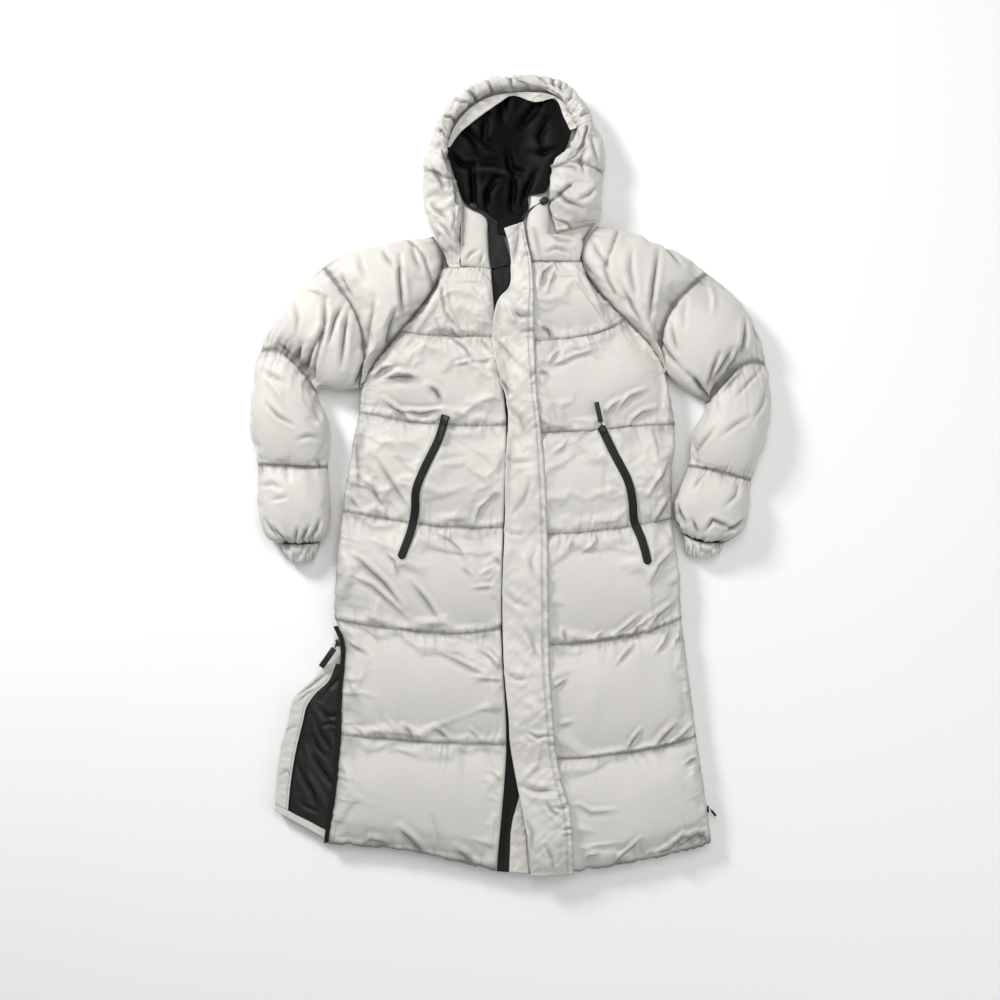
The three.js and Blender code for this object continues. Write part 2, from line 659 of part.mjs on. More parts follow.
// A cuff: the same tube, gathered by elastic into ribs that run to its open end.
const cuffSteps = [0, 0.2, 0.5, 0.8, 1];
const cuffRibDepth = 2.2;
const cuffMiddle = 15;
function cuff(sleeveRows, end) {
  const start = sleeveRows[sleeveRows.length - 1];
  const sections = cuffSteps.map((step) => {
    const points = rowColumns.map((column) => [
      start[column][0] + (end[column][0] - start[column][0]) * step,
      start[column][1] + (end[column][1] - start[column][1]) * step - 2 * seamGap,
    ]);
    const bulge = Math.sin(Math.PI * step) * 4;
    const top = cuffSeamHeight - 6 + (cuffEndHeight - cuffSeamHeight + 6) * step + bulge;
    const section = sleeveRing(points, top, cuffMiddle);
    section.outline = section.outline.map(([x, y, z], k) => {
      const rib = k % 2 === 0 ? cuffRibDepth : 0;
      return z > cuffMiddle + 2 ? [x, y, z - rib] : [x, y, z];
    });
    return section;
  });
  return tubeSolid(sections);
}

// The hood's padded edge: an arch that stands on the hood back and leans in over the lining.
const archShares = [0, 0.05, 0.16, 0.34, 0.55, 0.78, 0.94, 1];
function hoodArch(rows, loftAt, stepsPerRow) {
  const count = (rows.length - 1) * stepsPerRow;
  const rings = [];
  for (let step = 0; step <= count; step += 1) {
    const position = step / stepsPerRow;
    const outer = pointAt(rows, 'outer', position);
    const inner = pointAt(rows, 'inner', position);
    const width = Math.hypot(inner[0] - outer[0], inner[1] - outer[1]);
    const loft = loftAt(position / (rows.length - 1));
    const wall = Math.min(hoodWall, width * 0.8);
    const hollow = 0.6 + Math.min(Math.max((width - 34) / 20, 0), 1) * (loft - 18);
    const place = (share, z) => [outer[0] + (inner[0] - outer[0]) * share,
      outer[1] + (inner[1] - outer[1]) * share, frontBase + z];
    const ring = archShares.map((share) => {
      const t = Math.abs(2 * share - 1);
      const edge = share < 0.5 ? 6 : loft * 0.5;
      return place(share, edge + (loft - edge) * (1 - t ** 2.6) ** (1 / 2.6));
    });
    ring.push(place(0.985, hollow), place(wall / width + 0.06, hollow));
    ring.push(place(wall / width, 0), place(0.12, 0));
    rings.push(ring);
  }
  return ringSolid(rings);
}

const smooth = (share) => share * share * (3 - 2 * share);
const hoodSideLoft = (share) => 30 + (hoodLoft - 30) * smooth(Math.min(share / 0.4, 1));
const hoodLeftLoft = (share) => hoodSideLoft(1 - share);

// A thin or padded strip between two edges, resting at a height and thick as told.
function strip(rows, edges, columns, stepsPerRow, bottomAt, thicknessAt) {
  const count = (rows.length - 1) * stepsPerRow;
  const upper = [];
  const lower = [];
  for (let step = 0; step <= count; step += 1) {
    const position = step / stepsPerRow;
    const left = pointAt(rows, edges[0], position);
    const right = pointAt(rows, edges[1], position);
    const above = [];
    const below = [];
    for (let c = 0; c <= columns; c += 1) {
      const share = c / columns;
      const x = left[0] + (right[0] - left[0]) * share;
      const y = left[1] + (right[1] - left[1]) * share;
      const bottom = bottomAt(x, y, share, position / (rows.length - 1));
      above.push([x, y, bottom + thicknessAt(share, position / (rows.length - 1))]);
      below.push([x, y, bottom]);
    }
    upper.push(above);
    lower.push(below);
  }
  return panelSolid(upper, lower);
}

// Height of the cloth under a point, the highest within a small reach of it.
const down = new THREE.Vector3(0, 0, -1);
function clothHeight(meshes, x, y, reach) {
  const offsets = [[0, 0]];
  for (let k = 0; k < 8; k += 1) {
    const angle = k * Math.PI / 4;
    const [dx, dy] = [Math.cos(angle) * reach, Math.sin(angle) * reach];
    offsets.push([dx, dy], [dx / 2, dy / 2]);
  }
  return offsets.reduce((highest, [dx, dy]) => {
    const ray = new THREE.Raycaster(new THREE.Vector3(x + dx, y + dy, 300), down);
    const hits = ray.intersectObjects(meshes);
    return hits.length ? Math.max(highest, hits[0].point.z) : highest;
  }, 0);
}

const coat = new THREE.Group();
function add(name, geometry, look) {
  geometry.computeVertexNormals();
  const mesh = new THREE.Mesh(geometry, new THREE.MeshStandardMaterial({ ...look, side: THREE.DoubleSide }));
  mesh.name = name;
  coat.add(mesh);
  return mesh;
}

// Body, sleeves and cuffs.
const back = add('back_panel', backPanel(), shellCloth);
const rightFrontShape = frontPanel(rightSleeveRows, rightFrontSide, rightFrontSeams, 1);
const leftFrontShape = frontPanel(leftSleeveRows, leftSideSeam, leftFrontSeams, -1);
const frontRight = add('front_right', rightFrontShape, shellCloth);
const frontLeft = add('front_left', leftFrontShape, shellCloth);
add('sleeve_right', sleeve(rightSleeveRows), shellCloth);
add('sleeve_left', sleeve(leftSleeveRows), shellCloth);
add('cuff_right', cuff(rightSleeveRows, rightCuffEnd), shellCloth);
add('cuff_left', cuff(leftSleeveRows, leftCuffEnd), shellCloth);

// Hood back, under its padded edge, with the lining and the facing inside.
const hoodEdgeShare = (share) => Math.max(0, (Math.abs(share - 0.5) - 0.44) / 0.06);
add('hood_back', strip(hoodBackRows, ['left', 'right'], 8, 2,
  (x, y, share) => backEdgeRise * hoodEdgeShare(share),
  (share) => backLoft - backEdgeRise * hoodEdgeShare(share)), shellCloth);
add('hood_right', hoodArch(hoodRightRows, hoodSideLoft, 2), shellCloth);
add('hood_crown', hoodArch(hoodCrownRows, () => crownLoft, 2), shellCloth);
add('hood_left', hoodArch(hoodLeftRows, hoodLeftLoft, 2), shellCloth);

const liningFold = (x, y) => 2.4 * Math.sin(x / 11 + y / 60) + 1.6 * Math.sin(y / 17 - x / 40);
add('hood_lining', strip(liningRows, ['left', 'right'], 10, 2,
  () => frontBase,
  (share, along) => {
    const rim = Math.max(Math.abs(2 * share - 1) ** 6, smooth(Math.max(0, along - 0.85) / 0.15));
    const settled = smooth(Math.min(Math.max((along - 0.12) / 0.15, 0), 1));
    return liningThickness + settled * (4.5 + 4 * rim + liningFold(share * 200, along * 260));
  }), liningCloth);

const facingRows = hoodCrownRows.map((row, i) => {
  const toward = [-row.inner[0], 590 - row.inner[1]];
  const length = Math.hypot(...toward);
  return {
    outer: [row.inner[0] + toward[0] / length * facingGap, row.inner[1] + toward[1] / length * facingGap],
    inner: facingInner[i],
  };
});
add('hood_facing', strip(facingRows, ['outer', 'inner'], 2, 2,
  (x, y, share) => frontBase + facingDrop.outer + (facingDrop.inner - facingDrop.outer) * share,
  () => clothThickness), shellCloth);

// Collar fronts and the black facing behind the open zip.
const collarRight = add('collar_right', strip(rightCollarRows, ['left', 'right'], 4, 2,
  () => frontBase, (share) => collarLoft + 4 * Math.sin(Math.PI * share)), shellCloth);
const collarLeft = add('collar_left', strip(leftCollarRows, ['left', 'right'], 5, 2,
  () => frontBase, (share) => collarLoft + 5 * Math.sin(Math.PI * share)), shellCloth);
add('neck_facing', strip(neckFacingRows, ['left', 'right'], 2, 2,
  () => frontBase + neckFacingRise, () => clothThickness), coatedTape);

// Centre zip: one black tape between the two fronts, and the crumpled facing beside it at the hem.
const between = (a, b, share) => [0, 1].map((axis) => a[axis] + (b[axis] - a[axis]) * share);
const rightEdgeOfRightFront = (position) => seamColumn(rightFrontSeams, 'centre', position);
const leftEdgeOfLeftFront = (position) => seamColumn(leftFrontSeams, 'centre', position);
const tapeShare = (position) => 1 - 0.62 * smooth(Math.min(Math.max(position - 5.1, 0) / 0.6, 1));
function betweenFronts(from, to, startOf, endOf) {
  return panelRows.filter((position) => position >= from && position <= to).map((position) => {
    const [ax, ay] = rightEdgeOfRightFront(position);
    const [bx, by] = leftEdgeOfLeftFront(position);
    const a = [ax + 2 * seamGap, ay];
    const b = [bx - 2 * seamGap, by];
    return { left: between(a, b, startOf(position)), right: between(a, b, endOf(position)) };
  });
}
const tapeRows = betweenFronts(0.2, 6, () => 0, tapeShare);
const centreTape = add('centre_zip_tape', strip(tapeRows, ['left', 'right'], 2, 1,
  () => frontBase + zipRise, () => clothThickness), coatedTape);
const underlapRows = betweenFronts(5.3, 6, (position) => tapeShare(position) + 0.02, () => 1);
const crumple = (share, along) => 1.5 * Math.sin(14 * along + 5 * share);
const underlap = add('hem_underlap', strip(underlapRows, ['left', 'right'], 4, 3,
  (x, y, share, along) => frontBase + zipRise + crumple(share, along),
  () => clothThickness + 1), shellCloth);

// Rows no further apart than a step, worked out between the rows of a table.
function evenRows(rows, columns, step) {
  const even = [];
  for (let i = 0; i < rows.length - 1; i += 1) {
    const [a, b] = [rows[i][columns[0]], rows[i + 1][columns[0]]];
    const count = Math.ceil(Math.hypot(b[0] - a[0], b[1] - a[1]) / step);
    for (let k = 0; k < count; k += 1) {
      even.push(Object.fromEntries(columns.map((column) => [column, pointAt(rows, column, i + k / count)])));
    }
  }
  even.push(rows[rows.length - 1]);
  return even;
}

// Storm flap, lying on both fronts and on the collar.
const flapRests = [frontRight, frontLeft, centreTape, underlap, collarLeft];
add('storm_flap', strip(evenRows(stormFlapRows, ['free', 'stitched'], flapStep), ['free', 'stitched'], 4, 1,
  (x, y) => Math.max(clothHeight(flapRests, x, y, flapReach) + seamGap, frontBase + neckFacingRise + 5),
  (share) => flapThickness * (0.55 + 0.45 * Math.sin(Math.PI * share))), shellCloth);

// The open slit.
const frontEdgeAt = (position) => sideEdge(rightSleeveRows, rightFrontSide, position, 1);
const backEdgeAt = (position) => sideEdge(rightSleeveRows, rightBackSide, position, 1);
function slitRows(positions, fromBack, fromFront) {
  return positions.map((position) => {
    const a = backEdgeAt(position);
    const b = frontEdgeAt(position);
    const length = Math.hypot(b[0] - a[0], b[1] - a[1]);
    const [start, end] = [fromBack(length) / length, fromFront(length) / length];
    return { left: between(a, b, start), right: between(a, b, end) };
  });
}
const slitPositions = panelRows.filter((position) => position > 4.3 && position < 6);
const hemPositions = [5.91, 5.95, 5.985];
const facingInset = (length) => Math.min(slitFacingWidth + slitFacingMargin, length * 0.55);
const onBack = () => frontBase;
const slitFacing = add('slit_facing', strip(slitRows(slitPositions, () => slitFacingMargin, facingInset),
  ['left', 'right'], 2, 1, onBack, () => clothThickness), shellCloth);
add('slit_hem_facing', strip(slitRows(hemPositions, () => slitFacingMargin, (length) => length - 2 * seamGap),
  ['left', 'right'], 5, 1, onBack, () => clothThickness), shellCloth);
const slitLining = add('slit_lining', strip(slitRows(slitPositions, (length) => facingInset(length) + seamGap,
  (length) => length - 2 * seamGap), ['left', 'right'], 5, 1, onBack,
  (share, along) => liningThickness + 0.7 * Math.sin(9 * share + 17 * along)), liningCloth);
const slitTapePositions = panelRows.filter((position) => position > 4.05);
const slitTapeRows = slitTapePositions.map((position) => {
  const [x, y] = frontEdgeAt(position);
  return { left: [x - slitTapeWidth, y - 1], right: [x - 2 * seamGap, y] };
});
const slitTape = add('slit_zip_tape', strip(slitTapeRows, ['left', 'right'], 2, 1,
  () => frontBase + slitTapeRise, () => clothThickness), coatedTape);

// Pocket zips on the fronts.
function pocketTape(name, line, front) {
  const curve = new THREE.CatmullRomCurve3(line.map(([x, y]) => new THREE.Vector3(x, y, 0)));
  const steps = 18;
  const upper = [];
  const lower = [];
  for (let step = 0; step <= steps; step += 1) {
    const point = curve.getPointAt(step / steps);
    const tangent = curve.getTangentAt(step / steps);
    const above = [];
    const below = [];
    [-0.5, 0, 0.5].forEach((share) => {
      const x = point.x + tangent.y * pocketTapeWidth * share;
      const y = point.y - tangent.x * pocketTapeWidth * share;
      const rest = clothHeight([front], x, y, pocketTapeReach) + seamGap;
      below.push([x, y, rest]);
      above.push([x, y, rest + pocketTapeThickness]);
    });
    upper.push(above);
    lower.push(below);
  }
  return add(name, panelSolid(upper, lower), coatedTape);
}
const pocketTapeRight = pocketTape('pocket_zip_tape_right', rightPocketLine, frontRight);
const pocketTapeLeft = pocketTape('pocket_zip_tape_left', leftPocketLine, frontLeft);

// A slider: a rounded block; its pull tab: a flat bar that swings about the slider's bridge.
function roundedOutline(length, width, corner) {
  const outline = new THREE.Shape();
  outline.moveTo(0, -width / 2);
  outline.lineTo(length - corner, -width / 2);
  outline.absarc(length - corner, -width / 2 + corner, corner, -Math.PI / 2, 0);
  outline.absarc(length - corner, width / 2 - corner, corner, 0, Math.PI / 2);
  outline.lineTo(0, width / 2);
  outline.closePath();
  return outline;
}
function place(mesh, x, y, z, turn, tilt) {
  mesh.position.set(x, y, z);
  mesh.rotation.set(0, 0, 0);
  mesh.rotateZ(turn);
  mesh.rotateY(tilt);
}
function zipFitting(name, spot, tapes, cloths) {
  const turn = spot.turn * Math.PI / 180;
  const rest = clothHeight(tapes, spot.x, spot.y, sliderReach) + spot.lift;
  const block = new THREE.ExtrudeGeometry(roundedOutline(slider.length, slider.width, 2.5),
    { depth: slider.height, bevelEnabled: false, curveSegments: 3 });
  block.translate(-slider.length / 2, 0, 0);
  place(add(name.replace('PIECE', 'slider'), mergedShape(block), darkMetal),
    spot.x, spot.y, rest, spot.zipTurn * Math.PI / 180, 0);
  const tab = new THREE.ExtrudeGeometry(roundedOutline(spot.length, pullTab.width, 3),
    { depth: pullTab.thickness, bevelEnabled: false, curveSegments: 4 });
  tab.translate(0, 0, -pullTab.thickness / 2);
  const root = rest + slider.height + seamGap + pullTab.thickness / 2;
  const rise = [0.35, 0.5, 0.65, 0.8, 1].reduce((steepest, share) => {
    const out = share * spot.length;
    const [tipX, tipY] = [spot.x + Math.cos(turn) * out, spot.y + Math.sin(turn) * out];
    const under = clothHeight([...tapes, ...cloths], tipX, tipY, pullReach);
    return Math.max(steepest, Math.atan2(under + pullTab.thickness - root, out));
  }, 0);
  place(add(name.replace('PIECE', 'pull'), mergedShape(tab), darkPlastic), spot.x, spot.y, root, turn, -rise);
}
function mergedShape(geometry) {
  geometry.deleteAttribute('normal');
  geometry.deleteAttribute('uv');
  return mergeVertices(geometry, 1e-4);
}
zipFitting('pocket_zip_PIECE_right', zipSpots.right, [pocketTapeRight], [frontRight]);
zipFitting('pocket_zip_PIECE_left', zipSpots.left, [pocketTapeLeft], [frontLeft]);
zipFitting('slit_zip_PIECE', zipSpots.slit, [slitTape], [slitLining, slitFacing]);

// The closed side zip's fitting, at the other hem: its pull swings about an upright axis.
const sideSpot = sideEdge(leftSleeveRows, leftSideSeam, sidePullBaffle, -1);
const sideBlock = new THREE.BoxGeometry(sideSlider.depth, sideSlider.length, sideSlider.height);
const sideX = sideSpot[0] + sideSlider.depth / 2 + sideGap;
place(add('side_zip_slider', mergedShape(sideBlock), darkMetal), sideX, sideSpot[1], sideSlider.z, 0, 0);
const sideTab = new THREE.ExtrudeGeometry(roundedOutline(sidePull.length, sidePull.width, 3),
  { depth: sidePull.thickness, bevelEnabled: false, curveSegments: 4 });
sideTab.rotateX(Math.PI / 2);
sideTab.translate(0, sidePull.thickness / 2, 0);
place(add('side_zip_pull', mergedShape(sideTab), darkPlastic),
  sideX + sideSlider.depth / 2 + seamGap + sidePull.thickness / 2, sideSpot[1], sideSlider.z,
  sidePull.turn * Math.PI / 180, 0);

// Cord locks and the drawcord's free ends at the hood's lower corners.
function cordFitting(side, route, rests) {
  const points = route.map(([x, y, z]) => new THREE.Vector3(x, y, z));
  const lockTurn = Math.atan2(points[1].y - points[0].y, points[1].x - points[0].x);
  const profile = [];
  for (let step = 0; step <= 8; step += 1) {
    const angle = Math.PI * step / 8;
    const [across, along] = [Math.sin(angle) * cordLock.radius, -Math.cos(angle) * cordLock.length / 2];
    profile.push(new THREE.Vector2(across, along));
  }
  const lock = new THREE.LatheGeometry(profile, 12);
  const back = [points[0].x - Math.cos(lockTurn) * (cordLock.length / 2 + seamGap),
    points[0].y - Math.sin(lockTurn) * (cordLock.length / 2 + seamGap)];
  const height = clothHeight(rests, back[0], back[1], cordLock.radius) + cordLock.radius - lockSink;
  const mesh = add(`cord_lock_${side}`, mergedShape(lock), darkPlastic);
  mesh.position.set(back[0], back[1], height);
  mesh.rotation.set(0, 0, lockTurn - Math.PI / 2);
  const section = new THREE.Shape().absarc(0, 0, cordDiameter / 2, 0, 2 * Math.PI);
  const cord = new THREE.ExtrudeGeometry(section,
    { extrudePath: new THREE.CatmullRomCurve3(points), steps: 8, curveSegments: 4, bevelEnabled: false });
  add(`drawcord_${side}`, mergedShape(cord), coatedTape);
}
cordFitting('right', drawcordRight, [collarRight]);
cordFitting('left', drawcordLeft, [collarLeft]);

export default coat;
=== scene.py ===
# Looks for the long puffer coat laid flat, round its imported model. Metres, the model's own frame.
import math
import bmesh
import bpy
import numpy as np
from mathutils import Matrix, Vector
from mathutils.bvhtree import BVHTree


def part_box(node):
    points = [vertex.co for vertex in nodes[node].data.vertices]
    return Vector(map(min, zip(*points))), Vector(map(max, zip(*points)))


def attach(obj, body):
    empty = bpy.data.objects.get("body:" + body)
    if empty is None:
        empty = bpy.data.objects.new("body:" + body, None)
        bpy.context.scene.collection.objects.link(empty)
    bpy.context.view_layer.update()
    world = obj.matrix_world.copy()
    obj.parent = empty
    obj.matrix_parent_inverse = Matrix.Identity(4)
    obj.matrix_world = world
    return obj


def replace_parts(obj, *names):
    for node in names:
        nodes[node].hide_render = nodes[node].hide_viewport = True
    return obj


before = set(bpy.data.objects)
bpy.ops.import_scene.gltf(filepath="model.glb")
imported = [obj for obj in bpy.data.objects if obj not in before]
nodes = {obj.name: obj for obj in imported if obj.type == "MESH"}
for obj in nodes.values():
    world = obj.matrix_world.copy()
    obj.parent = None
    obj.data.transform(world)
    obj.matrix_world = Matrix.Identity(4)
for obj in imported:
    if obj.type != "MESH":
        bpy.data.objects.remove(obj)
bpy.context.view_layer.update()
mm = 0.001
scene = bpy.context.scene

# Camera: straight down on the coat, as in the photograph.
cameraSpot = {"x": -0.0194, "y": -0.0426, "z": 3.107, "lens": 60}
camera = bpy.data.objects.new("camera", bpy.data.cameras.new("camera"))
camera.data.lens = cameraSpot["lens"]
camera.data.sensor_width = 36
camera.location = (cameraSpot["x"], cameraSpot["y"], cameraSpot["z"])
scene.collection.objects.link(camera)
scene.camera = camera


# A socket of a material's tree that can stand in a sum.
class Field:
    def __init__(self, tree, socket=None):
        self.tree = tree
        self.socket = socket

    def make(self, kind, settings, inputs, output=0):
        node = self.tree.nodes.new(kind)
        for name, value in settings.items():
            setattr(node, name, value)
        for key, value in inputs.items():
            if isinstance(value, Field):
                self.tree.links.new(value.socket, node.inputs[key])
            else:
                node.inputs[key].default_value = value
        return Field(self.tree, node.outputs[output])

    def combine(self, operation, other):
        return self.make("ShaderNodeMath", {"operation": operation}, {0: self, 1: other})

    def __add__(self, other):
        return self.combine("ADD", other)

    def __mul__(self, other):
        return self.combine("MULTIPLY", other)


def newMaterial(name):
    material = bpy.data.materials.new(name)
    material.use_nodes = True
    tree = material.node_tree
    shader = tree.nodes["Principled BSDF"]
    field = Field(tree)
    spot = field.make("ShaderNodeTexCoord", {}, {}, "Object")
    return material, shader, field, spot


def feed(shader, name, value):
    shader.id_data.links.new(value.socket, shader.inputs[name])


def noiseField(field, spot, size, detail=2.0, stretch=(1, 1, 1)):
    turned = field.make("ShaderNodeMapping", {}, {"Vector": spot, "Scale": stretch})
    return field.make("ShaderNodeTexNoise", {}, {"Vector": turned, "Scale": 1 / size, "Detail": detail})


def mixed(field, factor, a, b):
    return field.make("ShaderNodeMix", {"data_type": "RGBA"}, {0: factor, 6: a, 7: b}, 2)


def grey(tone):
    return tone, tone, tone, 1


# A value kept at each point of a mesh: the painted shade that darkens the cloth there, or how near a seam.
def keptValue(field, name):
    return field.make("ShaderNodeAttribute", {"attribute_name": name}, {}, "Fac")


def bumped(field, shader, height, strength, distance):
    bump = field.make("ShaderNodeBump", {}, {"Height": height, "Strength": strength, "Distance": distance})
    feed(shader, "Normal", bump)


clothGrain = {"glossStretch": (1, 1, 0.4), "puckerStretch": (1, 0.45, 1), "combStretch": (1, 0.2, 0.6),
              "bumpDistance": 1 * mm, "sheenRoughness": 0.35}


# Woven nylon: a fine weave, soft blotches of sheen, the small puckers of cloth pulled by its stitches, and painted
# shade that darkens its colour towards the deep tone in creases and seams.
def wovenCloth(name, look):
    material, shader, field, spot = newMaterial(name)
    clean = mixed(field, noiseField(field, spot, look["toneSize"]), look["colour"], look["worn"])
    # Painted shade: the base colour darkens towards the deep colour by the value kept on the mesh for creases, seams
    # and gathers.
    feed(shader, "Base Color", mixed(field, keptValue(field, "paintedShade") * look["paintedShadeTone"], clean, look["deep"]))
    gloss = noiseField(field, spot, look["glossSize"], 3, clothGrain["glossStretch"])
    feed(shader, "Roughness", gloss * look["roughnessSpan"] + look["roughness"])
    pucker = noiseField(field, spot, look["puckerSize"], 3, clothGrain["puckerStretch"])
    comb = noiseField(field, spot, look["combSize"], 2, clothGrain["combStretch"])
    weftWave, warpWave = (field.make("ShaderNodeTexWave", {"bands_direction": direction},
                                     {"Vector": spot, "Scale": look["weave"]}) for direction in "XY")
    height = (pucker * look["puckerDepth"] + (weftWave + warpWave) * look["weaveDepth"]
              + keptValue(field, "nearSeam") * comb * look["combDepth"])
    bumped(field, shader, height, look["bump"], clothGrain["bumpDistance"])
    shader.inputs["Sheen Weight"].default_value = look["sheen"]
    shader.inputs["Sheen Roughness"].default_value = clothGrain["sheenRoughness"]
    shader.inputs["Specular IOR Level"].default_value = look["specular"]
    return material


# In each look, deep is the colour of the painted shade in creases and seams, and the shade tone sets how far towards
# it the colour is darkened.
shellLook = {"colour": (0.6, 0.585, 0.545, 1), "worn": (0.655, 0.64, 0.595, 1), "deep": (0.1, 0.095, 0.09, 1),
             "paintedShadeTone": 0.8, "toneSize": 0.12, "glossSize": 0.05, "roughness": 0.4, "roughnessSpan": 0.16,
             "puckerSize": 0.012, "puckerDepth": 0.55, "combSize": 0.0045, "combDepth": 1.6, "weave": 420,
             "weaveDepth": 0.05, "bump": 0.5, "sheen": 0.12, "specular": 0.5}
liningLook = {"colour": (0.014, 0.013, 0.0125, 1), "worn": (0.019, 0.018, 0.017, 1), "deep": grey(0.0006),
              "paintedShadeTone": 1.0, "toneSize": 0.05, "glossSize": 0.03, "roughness": 0.42, "roughnessSpan": 0.15,
              "puckerSize": 0.01, "puckerDepth": 0.4, "combSize": 0.005, "combDepth": 0.6, "weave": 500,
              "weaveDepth": 0.05, "bump": 0.4, "sheen": 0.0, "specular": 0.06}
slitLook = dict(liningLook, specular=0.3, roughness=0.34)
tapeLook = {"colour": grey(0.009), "worn": (0.015, 0.015, 0.014, 1), "deep": grey(0.002),
            "paintedShadeTone": 0.8, "toneSize": 0.02, "glossSize": 0.01, "roughness": 0.45, "roughnessSpan": 0.15,
            "puckerSize": 0.004, "puckerDepth": 0.15, "combSize": 0.005, "combDepth": 0.2, "weave": 700,
            "weaveDepth": 0.06, "bump": 0.4, "sheen": 0.01, "specular": 0.2}
shellCloth = wovenCloth("greyNylon", shellLook)
liningCloth = wovenCloth("blackLining", liningLook)
slitCloth = wovenCloth("slitLining", slitLook)
tapeCloth = wovenCloth("coatedTape", tapeLook)


hardGrain = {"roughnessSpan": 0.15, "bump": 0.25, "bumpDistance": 0.4 * mm}


# Moulded rubber, painted metal, thread and cord, each with fine grain.
def hardFinish(name, colour, worn, grainSize, roughness, metallic=0):
    material, shader, field, spot = newMaterial(name)
    grain = noiseField(field, spot, grainSize, 3)
    feed(shader, "Base Color", mixed(field, grain, colour, worn))
    feed(shader, "Roughness", grain * hardGrain["roughnessSpan"] + roughness)
    bumped(field, shader, grain, hardGrain["bump"], hardGrain["bumpDistance"])
    shader.inputs["Metallic"].default_value = metallic
    return material


rubber = hardFinish("pullRubber", grey(0.004), grey(0.011), 1.2 * mm, 0.42)
metal = hardFinish("blackMetal", grey(0.03), grey(0.09), 2 * mm, 0.25, 0.8)
threadGrey = hardFinish("greyThread", (0.33, 0.325, 0.31, 1), (0.42, 0.415, 0.4, 1), 0.8 * mm, 0.6)
cordWeave = hardFinish("cordWeave", grey(0.01), grey(0.03), 0.9 * mm, 0.65)


# A visible piece from a mesh or a curve, with its finish and body.
def finished(name, shape, material, body="coat"):
    shape.name = name
    piece = bpy.data.objects.new(name, shape)
    scene.collection.objects.link(piece)
    shape.materials.clear()
    shape.materials.append(material)
    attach(piece, body)
    return piece


def meshFrom(bm, name="cloth"):
    mesh = bpy.data.meshes.new(name)
    bm.to_mesh(mesh)
    bm.free()
    return mesh


def smoothMesh(bm):
    mesh = meshFrom(bm)
    mesh.polygons.foreach_set("use_smooth", [True] * len(mesh.polygons))
    return mesh


# The drawcord's two free ends at the hood's corners.
drawcordEnds = {
    "diameter": 3.6 * mm,
    "right": [[-60, 492, 44], [-51, 487, 42.4], [-42, 480, 40.7], [-33, 473, 39.3], [-25, 466, 38.8]],
    "left": [[54, 502, 46.4], [45, 497, 45.6], [36, 491, 43.6], [28, 484, 40.4], [22, 476, 37.6]],
}


def splinePoints(points, count):
    closed = [Vector(points[0]) * 2 - Vector(points[1])] + [Vector(p) for p in points]
    closed.append(closed[-1] * 2 - closed[-2])
    made = []
    for k in range(count + 1):
        place = k / count * (len(points) - 1)
        i = min(int(place), len(points) - 2)
        t = place - i
        a, b, c, d = closed[i:i + 4]
        made.append(0.5 * (2 * b + (c - a) * t + (2 * a - 5 * b + 4 * c - d) * t ** 2
                           + (3 * b - a - 3 * c + d) * t ** 3))
    return made


def cordCurve(name, points, radius):
    curve = bpy.data.curves.new(name, "CURVE")
    curve.dimensions = "3D"
    curve.bevel_depth = radius
    curve.bevel_resolution = 4
    curve.use_fill_caps = True
    spline = curve.splines.new("POLY")
    spline.points.add(len(points) - 1)
    for spot, point in zip(spline.points, points):
        spot.co = (*point, 1)
    return curve


def pathLength(points):
    return sum((b - a).length for a, b in zip(points, points[1:]))


for side in ("right", "left"):
    route = splinePoints([[v * mm for v in point] for point in drawcordEnds[side]], 16)
    curve = cordCurve(f"drawcordEnd_{side}", route, drawcordEnds["diameter"] / 2)
    cordEnd = finished(f"drawcordEnd_{side}", curve, cordWeave)
    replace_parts(cordEnd, f"drawcord_{side}")
    tuple(route[0])
    round(pathLength(route), 4)
print("camera, finishes and drawcord ends made")

# Heights of the layers, in millimetres, as in the part's source.
layers = {"seamGap": 0.3, "raglanGap": 1.7, "backLoft": 24, "backEdgeRise": 11, "frontBase": 24.3,
          "frontSeam": 13, "frontLoft": 38, "frontEdge": 7, "sleeveMiddle": 27, "sleeveSeam": 48,
          "sleeveLoft": 74, "forearmLoft": 66, "cuffSeam": 40, "cuffEnd": 32, "cuffMiddle": 15,
          "hoodLoft": 46, "crownLoft": 40, "hoodWall": 25}
baffles = 6
sleeveBaffles = 4
armpit = 1.7

# Where the raglan seam meets each height of the panels: share of the sleeve's first row, baffle number.
raglanBaffles = [[0.25, 0], [0.38, 0.3], [0.52, 0.66], [0.66, 1], [0.78, 1.2], [0.88, 1.42], [0.96, 1.6], [1, 1.7]]

# Four points across each sleeve row, from its outer to its inner edge, after the row's baffle number.
sleeveRows = {
    "right": [
        [0, (-143, 444), (-136, 358), (-205, 265), (-273, 166)],
        [0.5, (-256, 427), (-222, 345), (-240, 262), (-275, 165)],
        [1, (-345, 388), (-301, 327), (-272, 258), (-279, 164)],
        [1.5, (-416, 309), (-362, 282), (-328, 218), (-312, 161)],
        [2, (-463, 233), (-413, 226), (-384, 198), (-356, 155)],
        [2.5, (-482, 112), (-432, 108), (-383, 102), (-334, 92)],
        [3, (-467, 22), (-423, 20), (-380, 18), (-336, 18)],
        [3.5, (-466, -58), (-424, -60), (-380, -58), (-332, -56)],
        [3.85, (-452, -106), (-418, -108), (-378, -108), (-338, -102)],
        [4, (-432, -121), (-405, -123), (-379, -123), (-352, -121)],
    ],
    "left": [
        [0, (160, 463), (140, 374), (212, 290), (283, 192)],
        [0.5, (266, 437), (226, 358), (246, 276), (285, 190)],
        [1, (364, 377), (314, 331), (279, 270), (288, 188)],
        [1.5, (436, 303), (384, 278), (344, 216), (321, 161)],
        [2, (473, 205), (430, 207), (393, 176), (361, 136)],
        [2.5, (479, 92), (434, 82), (386, 74), (338, 82)],
        [3, (446, -6), (406, 3), (369, 13), (329, 20)],
        [3.5, (441, -48), (398, -52), (350, -50), (303, -48)],
        [3.85, (429, -96), (394, -104), (355, -104), (312, -88)],
        [4, (398, -120), (373, -121), (347, -118), (320, -106)],
    ],
}
